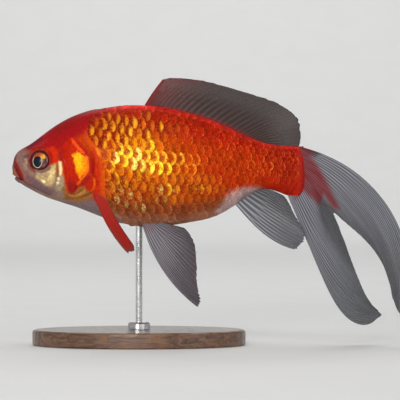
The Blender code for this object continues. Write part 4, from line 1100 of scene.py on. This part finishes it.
def scale_material(markings):
    """A scale's look on its own disc, its front at -1 and its rear at 1: painted shade, darker and redder, in
    front where the scale before overlaps it, ticks and grain, and on some a thin pale rear edge.  Where the
    scales gleam, that edge is a broad bright crescent, partly their own gold and partly a painted highlight;
    elsewhere a scale may carry a painted orange highlight spot in painted shadow gaps, or an ochre one
    between painted shadow gaps."""
    material, tree, shader = new_material("scales", Coat_Weight=0.02, Coat_Roughness=0.10,
                                          Specular_Tint=(1.0, 0.20, 0.08, 1.0), Specular_IOR_Level=0.08)
    marked = use_markings(tree, markings)
    uv = add_node(tree, "ShaderNodeUVMap", {}, uv_map="Scale")
    local = vector(tree, "MULTIPLY_ADD", uv, (2, 2, 0), (-1, -1, 0))
    apart = add_node(tree, "ShaderNodeSeparateXYZ", {0: local}).node.outputs
    radius = vector(tree, "LENGTH", local, output="Value")
    tone, gleam, lateral, clear, spot, ochre, silver = (
        value_of(tree, word) for word in ("Tone", "Gleam", "Lateral", "Clear", "Spot", "Ochre", "Silver"))
    other = calc(tree, "FRACT", times(tree, tone, 17.0))
    place = millimetres(tree)
    grain = noise(tree, place, 1.7, 3.0, 0.6)
    patch = noise(tree, place, 0.55, 2.0, 0.5)

    def roughened(distance, rough):
        return calc(tree, "MULTIPLY_ADD", calc(tree, "SUBTRACT", grain, 0.5), rough, distance)

    def from_middle(along, rough, tall=1.0):
        """Ragged distance from a place on the disc's middle line."""
        shifted = vector(tree, "MULTIPLY_ADD", local, (1, tall, 0), (-along, 0, 0))
        return roughened(vector(tree, "LENGTH", shifted, output="Value"), rough)

    across = calc(tree, "ABSOLUTE", apart[1])
    # Painted shade in front of each scale, where the scale before overlaps it.
    overlap_shade = times(tree, eased(tree, apart[0], 0.56, -0.05), eased(tree, across, 0.95, 0.45))
    overlap_shade_depth = times(tree, calc(tree, "MULTIPLY_ADD", marked["Gold"], 0.50, 0.42), clear)
    dark = mixed(tree, 1.0, marked["Colour"], (0.45, 0.16, 0.25), "MULTIPLY")
    colour = mixed(tree, times(tree, overlap_shade, overlap_shade_depth), marked["Colour"], dark)

    # Painted orange highlight spots in painted shadow gaps, then ochre spots between painted shadow gaps.
    gap = eased(tree, from_middle(0.62, 0.8, 0.72), 0.30, 0.62)
    colour = mixed(tree, times(tree, eased(tree, spot, 0.05, 0.45), gap), colour, (0.26, 0.012, 0.003))
    behind = calc(tree, "MULTIPLY_ADD", other, -0.35, apart[0])
    core = times(tree, eased(tree, from_middle(0.66, 3.0, 0.60), 0.62, 0.30),
                 eased(tree, behind, -0.15, 0.30))
    blob = mixed(tree, eased(tree, calc(tree, "ADD", grain, other), 0.75, 1.4), (1.0, 0.19, 0.012),
                 (1.0, 0.46, 0.012))
    blob = mixed(tree, eased(tree, calc(tree, "ADD", patch, tone), 0.95, 1.35), blob, (1.0, 0.60, 0.03))
    colour = mixed(tree, times(tree, core, eased(tree, spot, 0.15, 0.60)), colour, blob)
    middle = eased(tree, from_middle(0.60, 3.2, 0.66), 0.62, 0.22)
    round_it = calc(tree, "SUBTRACT", 1.0, middle)
    # Painted shadow gaps round the ochre spots.
    colour = mixed(tree, times(tree, ochre, round_it), colour, (0.20, 0.018, 0.006))
    colour = mixed(tree, times(tree, middle, ochre, eased(tree, other, 0.0, 0.8, 0.3, 0.9)), colour,
                   (0.85, 0.36, 0.010))

    # Thin pale rear edge and ticks.
    ragged = roughened(radius, 0.9)
    edge = times(tree, eased(tree, ragged, 0.78, 0.98), eased(tree, apart[0], 0.35, 0.75), clear,
                 eased(tree, tone, 0.0, 1.0, 0.25, 0.85))
    colour = mixed(tree, edge, colour, mixed(tree, 0.45, marked["Colour"], (1.0, 0.40, 0.07)))
    tick = noise(tree, millimetres(tree, (1.9, 1.9, 0.55)), 1.1, 2.0, 0.6)
    colour = mixed(tree, times(tree, eased(tree, tick, 0.54, 0.68, 0.0, 0.55), clear), colour,
                   mixed(tree, 0.30, marked["Colour"], (1.0, 0.36, 0.04)))

    # Bright crescent, partly the scale's own gold and partly a painted highlight, then flecks that break it
    # up, dark ones and painted glints.
    reach = calc(tree, "MULTIPLY_ADD", calc(tree, "MINIMUM", gleam, 1.2), 0.50, ragged)
    crescent = times(tree, eased(tree, reach, 0.74, 1.12), eased(tree, apart[0], -0.25, 0.40),
                     eased(tree, gleam, 0.10, 0.60), eased(tree, patch, 0.30, 0.55, 0.45, 1.0))
    warmth = calc(tree, "ADD", gleam, calc(tree, "SUBTRACT", patch, 0.5))
    warm = mixed(tree, eased(tree, warmth, 0.3, 0.95), (1.0, 0.33, 0.020), (1.0, 0.74, 0.030))
    warm = mixed(tree, eased(tree, calc(tree, "ADD", gleam, grain), 1.55, 2.1), warm, (1.0, 0.90, 0.18))
    bright = mixed(tree, calc(tree, "MULTIPLY_ADD", gleam, 0.70, 0.25), marked["Colour"], warm)
    colour = mixed(tree, crescent, colour, bright)
    fleck = noise(tree, millimetres(tree, (1.25, 1.25, 0.8)), 1.15, 3.0, 0.7)
    shiny = calc(tree, "MAXIMUM", calc(tree, "MAXIMUM", marked["Gold"], spot), ochre)
    broken = times(tree, eased(tree, fleck, 0.49, 0.36), calc(tree, "MULTIPLY_ADD", shiny, 0.55, 0.30), clear)
    colour = mixed(tree, broken, colour, mixed(tree, 1.0, colour, (0.62, 0.22, 0.30), "MULTIPLY"))
    painted_fleck_glint = times(tree, eased(tree, fleck, 0.57, 0.70, 0.0, 0.7), shiny, clear)
    colour = mixed(tree, painted_fleck_glint, colour, (1.0, 0.62, 0.04))

    # Painted silvery glints, and the pits of the lateral line.
    glint = times(tree, eased(tree, from_middle(0.70, 3.6, 0.75), 0.52, 0.22), eased(tree, silver, 0.15, 0.6),
                  eased(tree, fleck, 0.42, 0.54))
    colour = mixed(tree, glint, colour, mixed(tree, other, (0.50, 0.42, 0.08), (0.75, 0.78, 0.28)))
    pit = times(tree, eased(tree, from_middle(0.25, 0.8), 0.34, 0.12), lateral,
                calc(tree, "MULTIPLY_ADD", marked["Gold"], 0.75, 0.2), 0.85)
    colour = mixed(tree, pit, colour, (0.16, 0.020, 0.010))
    shade = times(tree, eased(tree, tone, 0.0, 1.0, 0.86, 1.08), eased(tree, grain, 0.34, 0.66, 0.84, 1.16))

    # Growth rings and grain, and each scale leaning its own way.
    rings = times(tree, calc(tree, "SINE", times(tree, radius, 70.0)), 0.02)
    lean = calc(tree, "ADD", times(tree, calc(tree, "SUBTRACT", tone, 0.5), apart[0]),
                times(tree, calc(tree, "SUBTRACT", other, 0.5), apart[1]))
    height = calc(tree, "ADD", calc(tree, "MULTIPLY_ADD", grain, 0.10, rings), times(tree, lean, 0.5))
    give(tree, shader, {"Base Color": scaled(tree, colour, shade),
                        "Roughness": eased(tree, crescent, 0.0, 1.0, 0.42, 0.28),
                        "Metallic": eased(tree, crescent, 0.0, 1.0, 0.35, 0.65),
                        "Normal": bumped(tree, height, 1.0, 0.001)})
    return material


def eye_material():
    """Iris and pupil on the eye's own plane, p towards the tail and q up, in millimetres: a dark iris, orange
    above and gold above and behind the pupil, the gold partly the iris's own and partly a painted highlight,
    a thin silver ring round the pupil and a dark outer rim."""
    material, tree, shader = new_material("eye", Coat_Weight=0.25, Coat_Roughness=0.03, Roughness=0.3,
                                          Specular_IOR_Level=0.15)
    p, q = value_of(tree, "Iris P"), value_of(tree, "Iris Q")
    flat = joined(tree, p, q)

    def near(at_p, at_q, inner, outer, strength=1.0):
        gap = vector(tree, "DISTANCE", flat, (at_p, at_q, 0), output="Value")
        return eased(tree, gap, outer, inner, 0.0, strength)

    off_p, off_q = calc(tree, "SUBTRACT", p, PUPIL[0]), calc(tree, "SUBTRACT", q, PUPIL[1])
    reach = eased(tree, off_q, -0.01, 0.01, PUPIL_REACH[2], PUPIL_REACH[1])
    way_out = joined(tree, calc(tree, "DIVIDE", off_p, PUPIL_REACH[0]), calc(tree, "DIVIDE", off_q, reach))
    pupil = vector(tree, "LENGTH", way_out, output="Value")
    fleck = noise(tree, millimetres(tree), 1.6, 4.0, 0.65)
    colour = mixed(tree, eased(tree, q, 0.4, 2.2), (0.085, 0.020, 0.014), (0.50, 0.070, 0.012))
    ring = times(tree, eased(tree, pupil, 1.0, 1.06), eased(tree, pupil, 1.21, 1.09),
                 eased(tree, q, 1.9, 0.9))
    rim = eased(tree, vector(tree, "LENGTH", flat, output="Value"), IRIS_RADIUS - 0.45, IRIS_RADIUS)
    # Gold above and behind the pupil: partly the iris's own gold, partly a painted highlight.
    for share, tint in ((near(2.5, -2.3, 0.3, 1.7, 0.8), (0.28, 0.11, 0.12)),
                        (near(1.7, -0.2, 0.2, 1.1, 0.6), (0.36, 0.17, 0.12)),
                        (near(1.7, 1.7, 0.4, 1.7), (1.0, 0.42, 0.035)),
                        (near(0.2, 1.9, 0.2, 1.0, 0.6), (0.42, 0.26, 0.05)),
                        (eased(tree, fleck, 0.42, 0.62, 0.0, 0.45), (0.045, 0.010, 0.010)),
                        (ring, (0.62, 0.47, 0.38)),
                        (rim, (0.050, 0.008, 0.010)),
                        (eased(tree, pupil, 1.05, 0.97), (0.002, 0.007, 0.011))):
        colour = mixed(tree, share, colour, tint)
    give(tree, shader, {"Base Color": colour})
    return material


def fin_material(name, web, crest, flush, thin):
    """Fin: a darker, thinner web between paler rays, streaked along them, and its flush of red where the mesh
    says; towards the edge the web lets light through."""
    material, tree, shader = new_material(name, Roughness=0.5, Coat_Weight=0.05, Coat_Roughness=0.2,
                                          Specular_IOR_Level=0.1)
    ray, reach, across, blush, shade_and_smoke = (value_of(tree, word)
                                      for word in ("Ray", "Reach", "Across", "Blush", "Shade and smoke"))
    streak = noise(tree, joined(tree, times(tree, across, 45.0), times(tree, reach, 2.5)), 1.0, 5.0, 0.65)
    colour = mixed(tree, times(tree, ray, eased(tree, reach, 0.3, 1.0, 0.9, 0.4)), web, crest)
    colour = mixed(tree, eased(tree, streak, 0.40, 0.66, 0.0, 0.45), colour, web)
    # Painted shade, and on the tail its smoky patch, darken the fin.
    colour = scaled(tree, colour, calc(tree, "MULTIPLY_ADD", shade_and_smoke, -0.75, 1.0))
    red = mixed(tree, ray, tuple(0.62 * c for c in flush), flush)
    blush = times(tree, blush, eased(tree, streak, 0.35, 0.60, 1.0, 0.7))
    clear = times(tree, eased(tree, reach, 0.10, 0.75, 0.0, thin), eased(tree, ray, 0.0, 0.9, 1.0, 0.55),
                  eased(tree, blush, 0.0, 1.0, 1.0, 0.2))
    give(tree, shader, {"Base Color": mixed(tree, blush, colour, red),
                        "Alpha": calc(tree, "SUBTRACT", 1.0, clear),
                        "Normal": bumped(tree, streak, 0.15, 0.0002)})
    return material


def wood_material():
    """Dark walnut with its grain along the base."""
    material, tree, shader = new_material("walnut", Coat_Weight=0.4, Coat_Roughness=0.15)
    place = millimetres(tree, (0.10, 1.0, 1.0))
    bend = joined(tree, 0.0, times(tree, noise(tree, place, 0.12, 3.0, 0.5), 22.0))
    lines = noise(tree, vector(tree, "ADD", place, bend), 0.55, 5.0, 0.65)
    pores = noise(tree, millimetres(tree, (0.25, 3.0, 3.0)), 1.2, 2.0, 0.5)
    colour = mixed(tree, eased(tree, lines, 0.36, 0.64), (0.050, 0.020, 0.010), (0.17, 0.078, 0.036))
    pored = eased(tree, pores, 0.60, 0.72, 0.0, 0.6)
    give(tree, shader, {"Base Color": mixed(tree, pored, colour, (0.025, 0.010, 0.006)),
                        "Roughness": eased(tree, pores, 0.4, 0.7, 0.30, 0.5),
                        "Normal": bumped(tree, pores, 0.15, 0.0002)})
    return material


def steel_material():
    """Brushed steel, its marks round the rod."""
    material, tree, shader = new_material("brushed steel", Metallic=1.0)
    marks = noise(tree, millimetres(tree, (0.15, 0.15, 6.0)), 1.5, 3.0, 0.6)
    tint = mixed(tree, eased(tree, marks, 0.3, 0.7), (0.50, 0.50, 0.51), (0.68, 0.68, 0.69))
    give(tree, shader, {"Base Color": tint, "Roughness": eased(tree, marks, 0.3, 0.7, 0.22, 0.36),
                        "Normal": bumped(tree, marks, 0.12, 0.0001)})
    return material


# ---- Studio --------------------------------------------------------------------------------------

CAMERA_AIM = (0.02745, 0.0, 0.06525)
CAMERA_LENS, SENSOR, VIEW_WIDTH = 200.0, 36.0, 0.180
FLOOR_FLAT, FLOOR_CURVE = 2.6, 1.4           # radius of its flat part, and of the curve round it, in metres
FLOOR_STEPS, FLOOR_SIDES = 14, 64
WALL_LAMP_OUT, WALL_LAMP_UP, WALL_LAMP_AIM = 3.0, 2.5, 3.6
LOW_SPREAD = 70                              # beam of the two low lamps, in degrees


def make_camera():
    """Level camera square to the fish's left side, as far off as its lens needs for the width of view."""
    data = bpy.data.cameras.new("camera")
    data.lens, data.sensor_width = CAMERA_LENS, SENSOR
    data.clip_start, data.clip_end = 0.05, 50.0
    camera = bpy.data.objects.new("camera", data)
    camera.location = (CAMERA_AIM[0], -VIEW_WIDTH * CAMERA_LENS / SENSOR, CAMERA_AIM[2])
    camera.rotation_euler = (math.pi / 2, 0, 0)
    bpy.context.collection.objects.link(camera)
    bpy.context.scene.camera = camera


def make_light(name, place, aim, size, power, colour=(1, 1, 1), spread=180):
    """Round lamp of this size that the camera doesn't see, its beam spread in degrees."""
    data = bpy.data.lights.new(name, "AREA")
    data.shape, data.size, data.energy, data.color = "DISK", size, power, colour
    data.spread = math.radians(spread)
    light = bpy.data.objects.new(name, data)
    light.location = place
    towards = np.array(aim, float) - np.array(place, float)
    light.rotation_euler = (math.acos(-towards[2] / np.linalg.norm(towards)), 0,
                            math.atan2(towards[1], towards[0]) - math.pi / 2)
    light.visible_camera = False
    bpy.context.collection.objects.link(light)


def make_studio():
    """Pale floor that curves up far away on every side, soft lamps, and an even pale surround."""
    bend = np.linspace(0, math.pi / 2, FLOOR_STEPS)[1:]
    radius = np.concatenate([np.linspace(0, FLOOR_FLAT, FLOOR_STEPS)[1:],
                             FLOOR_FLAT + FLOOR_CURVE * np.sin(bend)])
    height = np.concatenate([0 * bend, FLOOR_CURVE * (1 - np.cos(bend))])
    angle = np.arange(FLOOR_SIDES) * 2 * math.pi / FLOOR_SIDES
    ring = np.stack(np.broadcast_arrays(radius[:, None] * np.cos(angle), radius[:, None] * np.sin(angle),
                                        height[:, None]), axis=-1)
    quads, _ = grid_quads(len(radius), FLOOR_SIDES, start=1, closed=True)
    centre = end_fan(0, 1, FLOOR_SIDES)
    mesh = bpy.data.meshes.new("floor")
    mesh.from_pydata(np.concatenate([[(0, 0, 0)], ring.reshape(-1, 3)]).tolist(), [],
                     centre.tolist() + quads.tolist())
    mesh.shade_smooth()
    material, tree, shader = new_material("pale floor", Roughness=1.0, Specular_IOR_Level=0.0)
    speck = noise(tree, millimetres(tree), 0.02, 4.0)
    give(tree, shader, {"Base Color": mixed(tree, speck, (0.70, 0.70, 0.69), (0.74, 0.74, 0.73))})
    mesh.materials.append(material)
    floor = bpy.data.objects.new("floor", mesh)
    bpy.context.collection.objects.link(floor)
    # The two low lamps have narrow beams, so that they leave no bright pool on the floor beneath them.
    make_light("key", (-0.16, -0.95, 0.25), (0.0, 0.0, 0.08), 0.34, 0.77, (1.0, 0.97, 0.92), LOW_SPREAD)
    make_light("fill", (0.75, -0.75, 0.30), (0.03, 0.0, 0.07), 0.6, 0.28, spread=LOW_SPREAD)
    make_light("top", (0.0, 0.6, 1.3), (0.0, 0.5, 0.0), 1.0, 6.0)
    for word, along, across in (("behind", 0, 1), ("in front", 0, -1), ("left", -1, 0), ("right", 1, 0)):
        make_light("wall " + word, (WALL_LAMP_OUT * along, WALL_LAMP_OUT * across, WALL_LAMP_UP),
                   (WALL_LAMP_AIM * along, WALL_LAMP_AIM * across, 0.0), 2.2, 40.0)
    world = bpy.data.worlds.new("surround")
    world.use_nodes = True
    world.node_tree.nodes["Background"].inputs["Color"].default_value = (0.85, 0.87, 0.9, 1)
    world.node_tree.nodes["Background"].inputs["Strength"].default_value = 0.22
    bpy.context.scene.world = world
    bpy.context.scene.view_settings.view_transform = "Standard"


# ---- The whole -----------------------------------------------------------------------------------

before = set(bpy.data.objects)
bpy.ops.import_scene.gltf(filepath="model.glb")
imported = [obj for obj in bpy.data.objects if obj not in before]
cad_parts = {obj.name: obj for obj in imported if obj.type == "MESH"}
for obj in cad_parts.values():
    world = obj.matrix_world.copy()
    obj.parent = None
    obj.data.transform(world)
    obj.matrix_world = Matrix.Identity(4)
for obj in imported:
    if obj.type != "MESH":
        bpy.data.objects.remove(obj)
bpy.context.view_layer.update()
markings = make_markings()
make_skin(skin_material(markings))
make_scales(scale_material(markings))
eye_finish = eye_material()
make_eye("left", LEFT, eye_finish)
make_eye("right", RIGHT, eye_finish)
make_fins(fin_material("pale fin", (0.080, 0.082, 0.096), (0.42, 0.42, 0.47), (0.22, 0.010, 0.016), 0.25),
          fin_material("smoky fin", (0.030, 0.018, 0.016), (0.085, 0.052, 0.048), (0.30, 0.010, 0.014), 0.26),
          fin_material("red fin", (0.13, 0.045, 0.040), (0.27, 0.13, 0.115), (0.54, 0.012, 0.006), 0.10))
walnut, steel = wood_material(), steel_material()
for node, finish in (("stand_base", walnut), ("stand_rod", steel), ("stand_collar", steel)):
    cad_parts[node].data.materials.clear()
    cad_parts[node].data.materials.append(finish)
make_camera()
make_studio()
